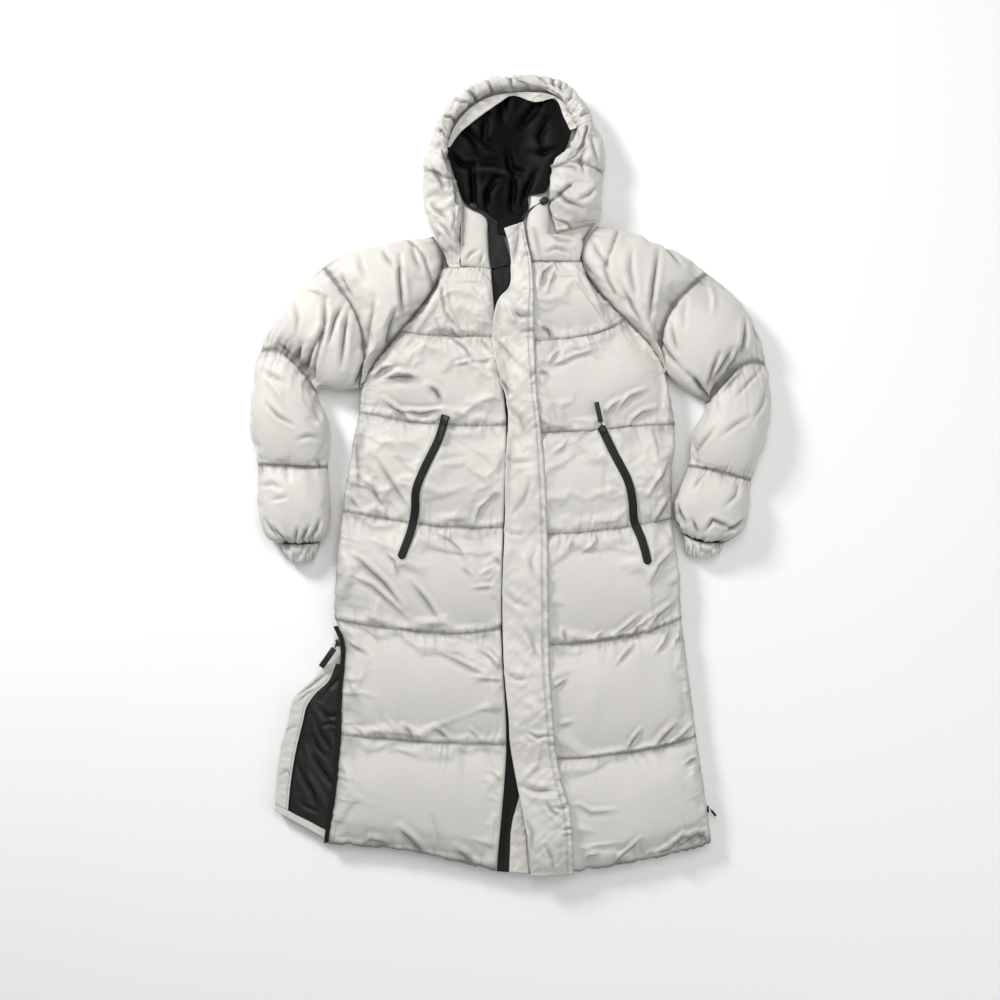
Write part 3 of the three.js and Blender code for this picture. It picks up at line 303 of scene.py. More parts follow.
cuffEnds = {"right": [(-413, -152), (-398, -157), (-380, -157), (-363, -151)],
            "left": [(386, -142), (369, -147), (344, -148), (325, -140)]}

# Side edges of the panels below the armpit: baffle number, x, y.
sideSeams = {
    "right": [[1.7, -273, 166], [2, -280, 120], [2.4, -292, 45], [3, -310, -61], [3.5, -319, -165], [4, -323, -261]],
    "left": [[1.7, 283, 192], [2, 303, 98], [2.5, 296, 10], [3, 298, -76], [3.5, 309, -170], [4, 315, -259],
             [4.5, 328, -375], [5, 343, -477], [5.4, 350, -540], [6, 371, -672]],
    "slitFront": [[4.2, -304, -310], [4.6, -309, -400], [5, -313, -474], [5.5, -319, -575], [6, -337, -675]],
    "slitBack": [[4.25, -333, -325], [4.5, -362, -372], [4.75, -398, -405], [5, -415, -455], [5.5, -430, -540],
                 [6, -439, -618]],
}
frontSides = {"right": sideSeams["right"] + sideSeams["slitFront"], "left": sideSeams["left"]}
backSides = {"right": sideSeams["right"] + sideSeams["slitBack"], "left": sideSeams["left"]}
inwards = {"right": 1, "left": -1}

# Middle and centre ends of each quilted seam, from the neck to the hem.
quiltSeams = {
    "right": [[(-82, 386), (-36, 382)], [(-118, 259), (-26, 259)], [(-140, 98), (-8, 96)], [(-150, -88), (-13, -92)],
              [(-150, -285), (-17, -279)], [(-150, -487), (-8, -492)], [(-175, -693), (-26, -727)]],
    "left": [[(66, 397), (0, 392)], [(132, 260), (6, 252)], [(170, 88), (22, 78)], [(165, -98), (19, -108)],
             [(180, -298), (15, -309)], [(200, -508), (20, -520)], [(215, -712), (34, -731)]],
    "back": [[(0, 384)], [(5, 255)], [(5, 92)], [(0, -95)], [(0, -290)], [(-20, -490)], [(-40, -702)]],
}


def hermite(knots, values, position):
    i = 0
    while i < len(knots) - 2 and position > knots[i + 1]:
        i += 1
    span = knots[i + 1] - knots[i]
    t = min(max((position - knots[i]) / span, 0), 1)

    def slope(j):
        a, b = max(j - 1, 0), min(j + 1, len(knots) - 1)
        return (values[b] - values[a]) / (knots[b] - knots[a])
    return (values[i] * (2 * t ** 3 - 3 * t ** 2 + 1) + slope(i) * span * (t ** 3 - 2 * t ** 2 + t)
            + values[i + 1] * (3 * t ** 2 - 2 * t ** 3) + slope(i + 1) * span * (t ** 3 - t ** 2))


def tablePoint(knots, points, position):
    return tuple(hermite(knots, [p[axis] for p in points], position) for axis in (0, 1))


# The points of a table at a place between its rows, one for each column.
def rowPoints(rows, place):
    return [tablePoint(range(len(rows)), column, place) for column in zip(*rows)]


def sleeveRow(side, place):
    knots, *columns = zip(*sleeveRows[side])
    return [tablePoint(knots, column, place) for column in columns]


def acrossRow(points, share):
    stops = (0, 1 / 3, 2 / 3, 1)
    x = y = 0
    for i, stop in enumerate(stops):
        weight = 1
        for j, other in enumerate(stops):
            if j != i:
                weight *= (share - other) / (stop - other)
        x += weight * points[i][0]
        y += weight * points[i][1]
    return x, y


def parabola(left, middle, right, share):
    a, b, c = 2 * (share - 0.5) * (share - 1), 4 * share * (1 - share), 2 * share * (share - 0.5)
    return tuple(a * left[k] + b * middle[k] + c * right[k] for k in (0, 1))


def baffleFill(position):
    return max(math.sin(math.pi * (position - math.floor(position))), 0) ** 0.6


def smooth(share):
    share = min(max(share, 0), 1)
    return share * share * (3 - 2 * share)


scallop = {"swell": 3.5, "pinch": 1.5}


# A point on a panel's side edge: along the raglan seam, then down the side seam.
def sideEdge(side, seam, position):
    inward = inwards[side]
    if position <= armpit:
        shares, heights = zip(*raglanBaffles)
        x, y = acrossRow(sleeveRows[side][0][1:], hermite(heights, shares, position))
        return x + inward * layers["raglanGap"], y - layers["raglanGap"] / 2
    knots, xs, ys = zip(*seam)
    out = scallop["swell"] * baffleFill(position) - scallop["pinch"]
    return hermite(knots, xs, position) - inward * out + inward * layers["seamGap"], hermite(knots, ys, position)


# The three points that carry a row of a front: its side edge, middle and centre.
def frontRow(side, place):
    return sideEdge(side, frontSides[side], place), *rowPoints(quiltSeams[side], place)


# A grid of cloth whose rows are placed one by one, with its shares kept for the folds that follow.
def clothGrid(bm, columns, rows, rowAt):
    across = bm.verts.layers.float.get("across") or bm.verts.layers.float.new("across")
    along = bm.verts.layers.float.get("along") or bm.verts.layers.float.new("along")
    made = bmesh.ops.create_grid(bm, x_segments=columns, y_segments=rows, size=0.5)["verts"]
    placed = {}
    for vert in made:
        column, row = round((vert.co.x + 0.5) * columns), round((vert.co.y + 0.5) * rows)
        if row not in placed:
            placed[row] = rowAt(row / rows)
        vert[across], vert[along] = column / columns, row / rows
        vert.co = Vector(placed[row](column / columns)) * mm
    return made


# A closed row of cloth: a tube whose first and last columns meet.
def tubeMesh(name, columns, rows, rowAt):
    bm = bmesh.new()
    clothGrid(bm, columns, rows, rowAt)
    bmesh.ops.remove_doubles(bm, verts=bm.verts, dist=0.05 * mm)
    bmesh.ops.recalc_face_normals(bm, faces=bm.faces)
    return meshFrom(bm, name)


def pointsOf(mesh):
    spots = np.empty(len(mesh.vertices) * 3)
    mesh.vertices.foreach_get("co", spots)
    return spots.reshape(-1, 3)


def shareOf(mesh, name):
    values = np.empty(len(mesh.vertices))
    mesh.attributes[name].data.foreach_get("value", values)
    return values


def setPoints(mesh, spots):
    mesh.vertices.foreach_set("co", spots.ravel())
    mesh.update()


# Each point's x and y in millimetres, and its shares across and along its grid.
def placesOf(mesh):
    spots = pointsOf(mesh) / mm
    return spots[:, 0], spots[:, 1], shareOf(mesh, "across"), shareOf(mesh, "along")


# Smooth, repeatable noise between -1 and 1.
def softNoise(x, y, seed=0):
    xi, yi = np.floor(x), np.floor(y)
    fx, fy = x - xi, y - yi
    fx, fy = fx * fx * (3 - 2 * fx), fy * fy * (3 - 2 * fy)

    def corner(i, j):
        raw = np.sin((xi + i) * 127.1 + (yi + j) * 311.7 + seed * 74.7) * 43758.5453
        return raw - np.floor(raw)
    low = corner(0, 0) * (1 - fx) + corner(1, 0) * fx
    high = corner(0, 1) * (1 - fx) + corner(1, 1) * fx
    return 2 * (low * (1 - fy) + high * fy) - 1


# How near each point is to a drawn line, and how far along it.
def nearLine(x, y, line):
    best = np.full(len(x), 1e9)
    place = np.zeros(len(x))
    lengths = [math.dist(a, b) for a, b in zip(line, line[1:])]
    total, start = sum(lengths), 0
    for (a, b), length in zip(zip(line, line[1:]), lengths):
        dx, dy = (b[0] - a[0]) / length, (b[1] - a[1]) / length
        run = np.clip((x - a[0]) * dx + (y - a[1]) * dy, 0, length)
        away = np.hypot(x - a[0] - dx * run, y - a[1] - dy * run)
        nearer = away < best
        best = np.where(nearer, away, best)
        place = np.where(nearer, (start + run) / total, place)
        start += length
    return best, place


# Lines traced over the photograph are in its pixels.
photo = {"middle": (510.5, 477), "pixel": 1.85}


def traced(line):
    (midX, midY), pixel = photo["middle"], photo["pixel"]
    return [((px - midX) * pixel, (midY - py) * pixel) for px, py in line]


# Creases: a traced line, how wide and how deep; a negative depth is a ridge. Each is a soft trough with a
# sharp line in it, between two low ridges.
creaseForm = {"wander": 0.3, "wanderSize": 11, "soft": 0.7, "sharp": 0.5, "sharpWidth": 0.42, "ridge": 0.34,
              "ridgeAway": 1.9, "end": 0.05}


def creased(x, y, creases):
    form, depth = creaseForm, np.zeros(len(x))
    for line, width, deep in creases:
        away, place = nearLine(x, y, traced(line))
        wander = 1 + form["wander"] * softNoise(x / form["wanderSize"], y / form["wanderSize"], len(line))
        taper = np.sin(np.pi * np.clip(place, form["end"], 1 - form["end"])) ** 0.6
        trough = (form["soft"] * np.exp(-(away / (width * wander)) ** 1.6)
                  + form["sharp"] * np.exp(-(away / (form["sharpWidth"] * width)) ** 1.5))
        ridge = np.exp(-((away - form["ridgeAway"] * width) / width) ** 2)
        depth += deep * taper * (trough - form["ridge"] * ridge)
    return depth


# One layer of cloth lying over another: a drop on one side of a line.
def stepDown(x, y, line, side, width, depth):
    away, place = nearLine(x, y, line)
    (x0, y0), (x1, y1) = line[0], line[-1]
    below = side * ((x - x0) * (y1 - y0) - (y - y0) * (x1 - x0)) > 0
    taper = np.sin(np.pi * np.clip(place, 0.06, 0.94)) ** 0.5
    return depth * taper * np.where(below, np.exp(-(away / width) ** 1.4), np.exp(-(away / 1.6) ** 2))


# Painted shade in a crease: a thin dark line where it is deepest. A crease this deep, in millimetres, is fully
# shaded.
darkCrease = 5.5


def paintedCreaseShade(deep):
    return (np.maximum(deep, 0) / darkCrease) ** 1.5


# Keeps on a mesh its painted shade, which darkens its colour in creases, seams and gathers, and how near a seam each
# point is, for its fine wrinkles.
def markShadeAndSeams(mesh, paintedShade, nearSeam):
    for name, values in (("paintedShade", paintedShade), ("nearSeam", nearSeam)):
        layer = mesh.attributes.get(name) or mesh.attributes.new(name, "FLOAT", "POINT")
        layer.data.foreach_set("value", np.clip(values, 0, 1).astype(np.float32))


# Seams pressed into cloth: a narrow groove along each line.
def grooved(x, y, lines, width, depth):
    total = np.zeros(len(x))
    for line in lines:
        away, _ = nearLine(x, y, line)
        total = np.maximum(total, depth * np.exp(-(away / width) ** 1.5))
    return total


waiting = []
puffFrames = 20
puffRules = {"quality": 4, "mass": 0.12, "tension_stiffness": 12, "compression_stiffness": 12, "shear_stiffness": 4,
             "bending_stiffness": 0.8, "air_damping": 2, "use_pressure": True, "vertex_group_mass": "pinned"}


# Puts a piece of cloth in the row of those that are puffed up together.
def toPuff(name, mesh, pinned, cut):
    piece = bpy.data.objects.new(name, mesh)
    scene.collection.objects.link(piece)
    group = piece.vertex_groups.new(name="pinned")
    group.add([int(k) for k in np.flatnonzero(pinned)], 1.0, "REPLACE")
    cloth = piece.modifiers.new("puff", "CLOTH")
    for rule, value in puffRules.items():
        setattr(cloth.settings, rule, value)
    cloth.settings.uniform_pressure_force = cut["pressure"]
    cloth.settings.shrink_min = -cut["growth"]
    cloth.settings.effector_weights.gravity = 0
    cloth.collision_settings.use_collision = False
    cloth.point_cache.frame_start, cloth.point_cache.frame_end = 1, puffFrames + 4
    waiting.append((piece, cut["cap"]))


# Runs the simulation and takes up each piece's puffed form, no point moved further than its cap.
def puffAll():
    for step in range(1, puffFrames + 1):
        scene.frame_set(step)
    puffed = {}
    graph = bpy.context.evaluated_depsgraph_get()
    for piece, cap in waiting:
        before = pointsOf(piece.data)
        after = pointsOf(bpy.data.meshes.new_from_object(piece.evaluated_get(graph)))
        move = after - before
        far = np.linalg.norm(move, axis=1)
        move *= np.minimum(1, cap / np.maximum(far, 1e-9))[:, None]
        setPoints(piece.data, before + move)
        puffed[piece.name] = piece
    scene.frame_set(1)
    return puffed


# One level of subdivision, taken up into the mesh, so that finer folds can be laid on it.
def refined(piece):
    for modifier in list(piece.modifiers):
        piece.modifiers.remove(modifier)
    level = piece.modifiers.new("finer", "SUBSURF")
    level.levels = level.render_levels = 1
    graph = bpy.context.evaluated_depsgraph_get()
    mesh = bpy.data.meshes.new_from_object(piece.evaluated_get(graph))
    bpy.data.objects.remove(piece)
    return mesh


def normalsOf(mesh):
    normals = np.empty(len(mesh.vertices) * 3)
    mesh.vertex_normals.foreach_get("vector", normals)
    return normals.reshape(-1, 3)


# Gathers that run away from the quilted seams, uneven in reach: millimetres of rise, painted shade in their
# grooves and pleats, and how near a seam.
def gathers(place, run, baffleLength, amount, seed):
    seamIndex = np.round(place)
    away = np.abs(place - seamIndex) * baffleLength
    above = np.where(place < seamIndex, 1.0, 0.0)
    comb = softNoise(run / 5, away / 16 + seamIndex * 9.7, seed)
    wander = softNoise(run / 45, away / 60 + seamIndex * 3.1, seed + 5)
    pleat = softNoise(run / 15 + 0.9 * wander + above * 7.7, away / 90 + seamIndex * 5.3, seed + 3)
    reach = 15 + 13 * softNoise(run / 30 + above * 3.3, seamIndex * 4.4, seed + 7)
    tight = np.exp(-(pleat / 0.24) ** 2)
    groove, near = np.exp(-(away / 2.6) ** 1.5), np.exp(-away / 6) * np.clip(place / 0.3, 0.25, 1)
    far = np.exp(-away / np.maximum(reach, 4)) * (1 - np.exp(-away / 3))
    rise = amount * (1.7 * near * comb - 3.1 * far * tight - 2.6 * groove)
    # Painted shade: darkest in each seam's groove and along the pleats that run from it.
    paintedShade = groove * (1.1 + 0.6 * comb) + 0.5 * far * tight + 0.8 * np.exp(-away / 5) * np.maximum(-comb, 0)
    return rise, paintedShade, np.exp(-away / 14)


# Long soft folds that wander over a whole panel.
def softFolds(x, y, amount, size, turn, seed):
    c, s = math.cos(math.radians(turn)), math.sin(math.radians(turn))
    u, v = (x * c + y * s) / size, (y * c - x * s) / (size * 3.2)
    bent = softNoise(u * 0.5, v * 0.5, seed + 2)
    return amount * softNoise(u + 0.7 * bent, v, seed)


def openEdges(bm):
    return [edge for edge in bm.edges if edge.is_boundary]


def meshCopy(mesh):
    bm = bmesh.new()
    bm.from_mesh(mesh)
    return bm


# Joins what lies on the same spot, fills what is left open and turns the faces outwards.
def sewnShut(bm, reach):
    bmesh.ops.remove_doubles(bm, verts=bm.verts, dist=reach * mm)
    bmesh.ops.holes_fill(bm, edges=openEdges(bm), sides=0)
    bmesh.ops.collapse(bm, edges=openEdges(bm))
    bmesh.ops.recalc_face_normals(bm, faces=bm.faces)
    return smoothMesh(bm)


# Closes a tube of cloth at its two ends.
def closedEnds(mesh):
    bm = meshCopy(mesh)
    bmesh.ops.holes_fill(bm, edges=openEdges(bm), sides=0)
    bmesh.ops.recalc_face_normals(bm, faces=bm.faces)
    return smoothMesh(bm)


# Closes an open sheet of cloth downward to the flat underside of the top layers.
def closedBelow(mesh):
    bm = meshCopy(mesh)
    made = bmesh.ops.extrude_edge_only(bm, edges=openEdges(bm))["geom"]
    for part in made:
        if isinstance(part, bmesh.types.BMVert):
            part.co.z = layers["frontBase"] * mm
    rim = [part for part in made if isinstance(part, bmesh.types.BMEdge) and part.is_boundary]
    bmesh.ops.triangle_fill(bm, edges=rim, use_beauty=False)
    bmesh.ops.recalc_face_normals(bm, faces=bm.faces)
    return smoothMesh(bm)


# A thin shell of cloth over a grid, its thickness laid on below.
def thinShell(mesh, thickness):
    bm = meshCopy(mesh)
    bmesh.ops.recalc_face_normals(bm, faces=bm.faces)
    if sum(face.normal.z * face.calc_area() for face in bm.faces) < 0:
        bmesh.ops.reverse_faces(bm, faces=bm.faces)
    bmesh.ops.solidify(bm, geom=bm.faces[:], thickness=thickness * mm)
    return smoothMesh(bm)


# Filled cloth in place of a node.
def padded(node, mesh, name=None):
    piece = finished(name or f"{node}_cloth", mesh, shellCloth)
    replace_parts(piece, node)


# A plain layer of cloth, laid or stretched over the pieces that it rests on, in place of a node.
def sheetPiece(node, mesh, thickness, material=shellCloth):
    piece = finished(f"{node}_cloth", thinShell(mesh, thickness), material)
    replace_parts(piece, node)


def treeOf(pieces):
    graph = bpy.context.evaluated_depsgraph_get()
    return [BVHTree.FromObject(piece, graph) for piece in pieces]


def madeTrees(*names):
    return treeOf([bpy.data.objects[name] for name in names])


# Heights of the cloth's top and of a fitting's underside at a spot.
def topAt(trees, x, y):
    best = 0.0
    for tree in trees:
        hit = tree.ray_cast(Vector((x, y, 0.3)), Vector((0, 0, -1)))
        if hit[0] is not None:
            best = max(best, hit[0].z)
    return best


def underAt(tree, x, y):
    hit = tree.ray_cast(Vector((x, y, -0.1)), Vector((0, 0, 1)))
    return None if hit[0] is None else hit[0].z


pocketLines = {
    "right": [(-119, 112), (-133, 66), (-160, 10), (-173, -26), (-175, -62), (-183, -100), (-201, -150)],
    "left": [(166, 92), (190, 41), (214, -6), (223, -43), (227, -80), (241, -117), (252, -160)],
}
flapRows = [
    [(-12, 457), (24, 469)], [(-4, 430), (29, 438)], [(1, 392), (38, 398)], [(-2, 350), (42, 346)],
    [(-24, 322), (43, 310)], [(-33, 250), (44, 244)], [(-18, 180), (48, 161)], [(-5, 120), (54, 100)],
    [(-8, 20), (62, 20)], [(-11, -92), (68, -98)], [(-15, -230), (70, -230)], [(-12, -350), (72, -350)],
    [(-4, -440), (78, -440)], [(-1, -492), (84, -505)], [(11, -561), (95, -561)], [(23, -620), (109, -610)],
    [(33, -680), (114, -670)], [(37, -734), (116, -731)],
]

# The two fronts: quilted baffles whose tops are puffed up between pinned seams.
frontCut = {"columns": 66, "rowsPerBaffle": 42, "growth": 0.025, "pressure": 4, "cap": 9 * mm, "gathers": 1.0,
            "folds": 1.0, "width": 300, "baffleLength": 185, "roundEdge": 0.24, "hemFrom": 5.88, "hem": 0.12,
            "zipHold": 6, "flapHold": 34}
frontCreases = {
    "right": [
        [[(442, 283), (441, 298), (445, 313), (458, 328)], 4, 4], [[(446, 285), (449, 308), (458, 325)], 3.5, 2.5],
        [[(449, 328), (460, 338)], 4, 5], [[(432, 312), (443, 336)], 4, 2.5],
        [[(447, 339), (460, 346), (473, 361)], 4, 4.5], [[(473, 361), (484, 362), (495, 359)], 3.5, 3.5],
        [[(455, 366), (472, 362)], 3.5, 2.5], [[(479, 339), (491, 352)], 5, 3.5], [[(489, 368), (499, 377)], 4, 3],
        [[(376, 376), (384, 369), (394, 366)], 5, 7], [[(388, 379), (400, 376), (416, 378)], 7, 9],
        [[(429, 386), (436, 391), (441, 400)], 6, 6.5], [[(399, 411), (420, 413), (446, 411)], 5, 7],
        [[(385, 400), (402, 414), (413, 423)], 5, 6], [[(450, 412), (465, 416)], 4, 3],
        [[(363, 415), (359, 450), (359, 492)], 6, 4], [[(376, 455), (389, 476), (410, 507)], 6, 4],
        [[(359, 476), (373, 486), (385, 507)], 5, 4], [[(349, 495), (358, 506)], 5, 4],
        [[(473, 525), (480, 507), (496, 492)], 5, 4], [[(349, 553), (363, 561), (385, 581), (405, 607)], 6, 5.5],
        [[(352, 574), (373, 584), (393, 602), (408, 617)], 5, 5], [[(389, 553), (396, 559), (398, 573)], 4, 4],
        [[(433, 535), (447, 538), (465, 556)], 5, 4], [[(462, 565), (471, 574)], 4, 3],
        [[(494, 555), (505, 567)], 4, 4.5], [[(482, 573), (494, 567)], 4, 3], [[(473, 587), (494, 585)], 4, 3],
        [[(411, 579), (427, 599), (439, 617)], 6, 4.5], [[(347, 638), (357, 645), (368, 651)], 4, 4],
        [[(478, 648), (490, 656), (502, 669)], 4, 4.5], [[(488, 645), (497, 655), (503, 667)], 3.5, 3.5],
        [[(441, 651), (465, 663), (486, 672)], 5, 4], [[(474, 675), (503, 678)], 4, 3],
        [[(403, 723), (409, 728), (415, 736)], 5, 5], [[(434, 724), (440, 729), (448, 737)], 5, 5],
        [[(470, 727), (480, 738)], 4, 3], [[(355, 725), (366, 733)], 4, 3], [[(489, 768), (501, 777)], 4, 3],
        [[(400, 824), (411, 834), (424, 849)], 7, 6.5], [[(433, 815), (438, 835), (441, 853)], 5, -4],
        [[(456, 845), (466, 852), (476, 864)], 7, 5.5], [[(345, 660), (352, 684), (362, 700)], 6, 2.5],
        [[(388, 840), (372, 836), (362, 842)], 6, 4],
    ],
    "left": [
        [[(538, 290), (543, 275), (554, 265)], 5, 5], [[(546, 294), (551, 280), (557, 268)], 4, 3.5],
        [[(539, 326), (546, 331), (551, 340)], 5, 6], [[(548, 364), (553, 357), (559, 351)], 4, 3.5],
        [[(537, 371), (546, 375)], 3.5, 4.5], [[(604, 414), (612, 405), (621, 399)], 5, 4.5],
        [[(615, 411), (628, 397), (645, 390)], 5, 5], [[(629, 427), (632, 419), (641, 412), (656, 408)], 5, 4.5],
        [[(605, 461), (605, 495)], 5, -3], [[(540, 417), (547, 424), (551, 435)], 4, 3.5],
        [[(568, 438), (563, 447), (550, 456)], 5, 3.5], [[(575, 440), (594, 428)], 4, 3],
        [[(667, 458), (659, 477), (647, 495)], 5, 5], [[(669, 493), (658, 513), (650, 526)], 5, 5],
        [[(572, 538), (568, 548)], 4, 3], [[(597, 535), (592, 545), (581, 552)], 4, 3.5],
        [[(672, 548), (656, 565), (647, 582)], 5, 4.5], [[(672, 601), (656, 614), (644, 634)], 5, 5],
        [[(655, 611), (643, 622), (624, 639)], 5, 5], [[(638, 614), (626, 625), (613, 636)], 4.5, 4.5],
        [[(550, 367), (576, 356), (595, 350)], 4, 3.5], [[(616, 662), (625, 652), (634, 643)], 4, 4.5],
        [[(654, 652), (663, 642), (668, 629)], 4, 4.5], [[(673, 646), (679, 634), (679, 625)], 4, 4.5],
        [[(594, 639), (602, 631)], 4, 3.5], [[(565, 641), (562, 627)], 4, 4.5],
        [[(549, 686), (556, 683), (566, 677)], 4, 4.5], [[(553, 724), (573, 719)], 5, 3],
        [[(627, 748), (632, 738), (640, 727)], 4, 6],
        [[(655, 745), (664, 733), (674, 722)], 6, 7], [[(664, 744), (680, 735), (693, 722)], 4, 5],
        [[(683, 762), (690, 759), (697, 755)], 4, 6], [[(568, 802), (578, 802), (590, 809), (614, 807)], 5, 3.5],
        [[(612, 862), (624, 850), (639, 835)], 4, 6.5], [[(585, 858), (588, 852), (599, 851)], 5, 4],
        [[(679, 835), (697, 829), (708, 837)], 5, 6.5], [[(662, 848), (673, 839), (684, 833)], 5, 6],
        [[(643, 856), (655, 847)], 5, 4], [[(560, 862), (568, 850)], 4, 3],
        [[(650, 853), (668, 845), (684, 842)], 4, 6], [[(676, 846), (690, 834), (704, 829)], 4, 6.5],
        [[(690, 842), (699, 834), (707, 826)], 3.5, 5.5], [[(664, 850), (676, 838), (682, 829)], 4, 5.5],
    ],
}


# A quarter round: 0 at an edge, 1 from its width inwards.
def quarterRound(away, width):
    return math.sqrt(1 - (1 - min(away / width, 1)) ** 2)


def frontSheet(side):
    base, low, loft, edgeHeight = layers["frontBase"], layers["frontSeam"], layers["frontLoft"], layers["frontEdge"]
    inward, roundEdge = inwards[side], frontCut["roundEdge"]

    def rowAt(down):
        place = down * baffles
        edge, middle, centre = frontRow(side, place)
        if place <= armpit:
            edge = (edge[0] - inward * 2.6, edge[1] + 1.2)
        fill = baffleFill(min(place, baffles - 0.04)) ** 0.8
        ends = min(min(place, baffles - place) / 0.2, 1)
        hem = math.sqrt(1 - min(max((place - frontCut["hemFrom"]) / frontCut["hem"], 0), 1) ** 2)

        def at(share):
            x, y = parabola(edge, middle, centre, share)
            near = quarterRound(share, roundEdge)
            far = 0.6 + 0.4 * quarterRound(1 - share, roundEdge)
            height = edgeHeight + (low - edgeHeight) * near * far
            height += (loft - low) * fill * near * far * (0.5 + 0.5 * ends)
            return x, y, base + edgeHeight * 0.5 + (height - edgeHeight * 0.5) * (0.15 + 0.85 * hem)
        return at
    bm = bmesh.new()
    clothGrid(bm, frontCut["columns"], frontCut["rowsPerBaffle"] * baffles, rowAt)
    if inward < 0:
        bmesh.ops.reverse_faces(bm, faces=bm.faces)
    return meshFrom(bm, f"frontSheet_{side}")


# The first and last rows or columns of a grid, by their share.
def atEnds(share):
    return (share < 0.001) | (share > 0.999)


# The rows that lie on a quilted seam, by their baffle number.
def onSeams(place, rowsPerBaffle):
    return np.abs(place - np.round(place)) < 0.4 / rowsPerBaffle


# A front is held down along its seams and edges, under its pocket's zip and under the storm flap.
def pinnedFront(mesh, side):
    x, y, across, down = placesOf(mesh)
    toZip, _ = nearLine(x, y, pocketLines[side])
    toFlap, _ = nearLine(x, y, [((a[0] + b[0]) / 2, (a[1] + b[1]) / 2) for a, b in flapRows])
    return (onSeams(down * baffles, frontCut["rowsPerBaffle"]) | atEnds(across) | (toZip < frontCut["zipHold"])
            | (toFlap < frontCut["flapHold"]))


for side in ("right", "left"):
    sheet = frontSheet(side)
    toPuff(f"frontSheet_{side}", sheet, pinnedFront(sheet, side), frontCut)

# The sleeves: tubes pressed flat, with a quilted top.
sleeveCut = {"columns": 72, "rowsPerBaffle": 32, "topShare": 0.66, "growth": 0.03, "pressure": 4, "cap": 6 * mm,
             "gathers": 1.0, "folds": 1.4, "round": 340, "baffleLength": 130, "shoulderHold": 4, "flatBelow": 20}


# One row round a tube that lies flat: arched over the first share of its turn, nearly flat below.
def tubeRow(points, top, middle, topShare):
    def at(turn):
        if turn <= topShare:
            share = 0.5 - 0.5 * math.cos(math.pi * turn / topShare)
            t = abs(2 * share - 1)
            z = middle + (top - middle) * max(1 - t ** 2.3, 0) ** (1 / 2.3)
        else:
            share = 0.5 + 0.5 * math.cos(math.pi * (turn - topShare) / (1 - topShare))
            toFlat = max(0, (abs(2 * share - 1) - 0.72) / 0.28)
            z = middle * (1 - math.sqrt(max(1 - toFlat ** 2, 0)))
        return (*acrossRow(points, share), z)
    return at


def sleeveTube(side):
    def rowAt(down):
        place = down * sleeveBaffles
        loft = layers["sleeveLoft"] + (layers["forearmLoft"] - layers["sleeveLoft"]) * min(max(place - 2, 0), 1)
        ends = max(min(place / 0.15, (sleeveBaffles - place) / 0.15, 1), 0)
        low = layers["cuffSeam"] + (layers["sleeveSeam"] - layers["cuffSeam"]) * ends
        return tubeRow(sleeveRow(side, place), low + (loft - low) * baffleFill(min(place, sleeveBaffles)),
                       layers["sleeveMiddle"], sleeveCut["topShare"])
    return tubeMesh(f"sleeveTube_{side}", sleeveCut["columns"], sleeveCut["rowsPerBaffle"] * sleeveBaffles, rowAt)


shoulderLines = {"right": [(-186, 435), (-173, 424), (-158, 405), (-145, 364), (-143, 344)],
                 "left": [(197, 451), (178, 405), (171, 379), (178, 355), (190, 333)]}
elbowLines = {"right": [(-410, 224), (-389, 205), (-369, 183), (-352, 160)],
              "left": [(420, 205), (397, 181), (378, 159), (361, 137)]}

for side in ("right", "left"):
    tube = sleeveTube(side)
    x, y, turn, down = placesOf(tube)
    shoulder, _ = nearLine(x, y, shoulderLines[side])
    pinned = (onSeams(down * sleeveBaffles, sleeveCut["rowsPerBaffle"]) | (shoulder < sleeveCut["shoulderHold"])
              | (pointsOf(tube)[:, 2] / mm < sleeveCut["flatBelow"]))
    toPuff(f"sleeveTube_{side}", tube, pinned, sleeveCut)

# The hood's padded edge: right side, crown channel and left side, each an arch over the lining.
hoodCut = {"topColumns": 26, "underColumns": 10, "growth": 0.07, "pressure": 4.5, "cap": 6 * mm, "seamHold": 3.5,
           "flatBelow": 8, "rows": {"right": 60, "crown": 130, "left": 50},
           "length": {"right": 250, "crown": 420, "left": 190}}
hoodRows = {
    "right": [[(-113, 384.2), (-92, 386.8)], [(-122, 408), (-92, 410)], [(-136, 436), (-92, 438)],
              [(-152, 474), (-92, 470)], [(-158, 512), (-92, 506)], [(-158, 549), (-102, 540)],
              [(-153, 590), (-114, 577)], [(-143, 627), (-118, 606)]],
    "crown": [[(-142.5, 628), (-117.5, 607)], [(-125, 664), (-104, 643)], [(-93, 699), (-76, 677)],
              [(-50, 724), (-38, 699)], [(3, 732), (4, 706)], [(55, 732), (52, 707)], [(103, 718), (88, 697)],
              [(134, 686), (111, 668)], [(151, 653), (123, 642)]],
    "left": [[(151.5, 652), (123.4, 641)], [(167, 614), (108, 606)], [(173, 577), (84, 580)],
             [(170, 540), (72, 546)], [(168, 503), (72, 512)], [(165, 488), (76, 484)], [(156, 468), (84, 451)]],
}


# The sides come down to the collar at their lower ends, the left one with its end rolled under.
def hoodLoftAt(side, down):
    if side == "crown":
        return layers["crownLoft"]
    up, low = (down, 19) if side == "right" else (1 - down, 18)
    loft = low + (layers["hoodLoft"] - low) * smooth(min(up / 0.45, 1))
    if side == "left":
        loft *= 0.3 + 0.7 * math.sqrt(1 - min(max((down - 0.9) / 0.1, 0), 1) ** 2)
    return loft


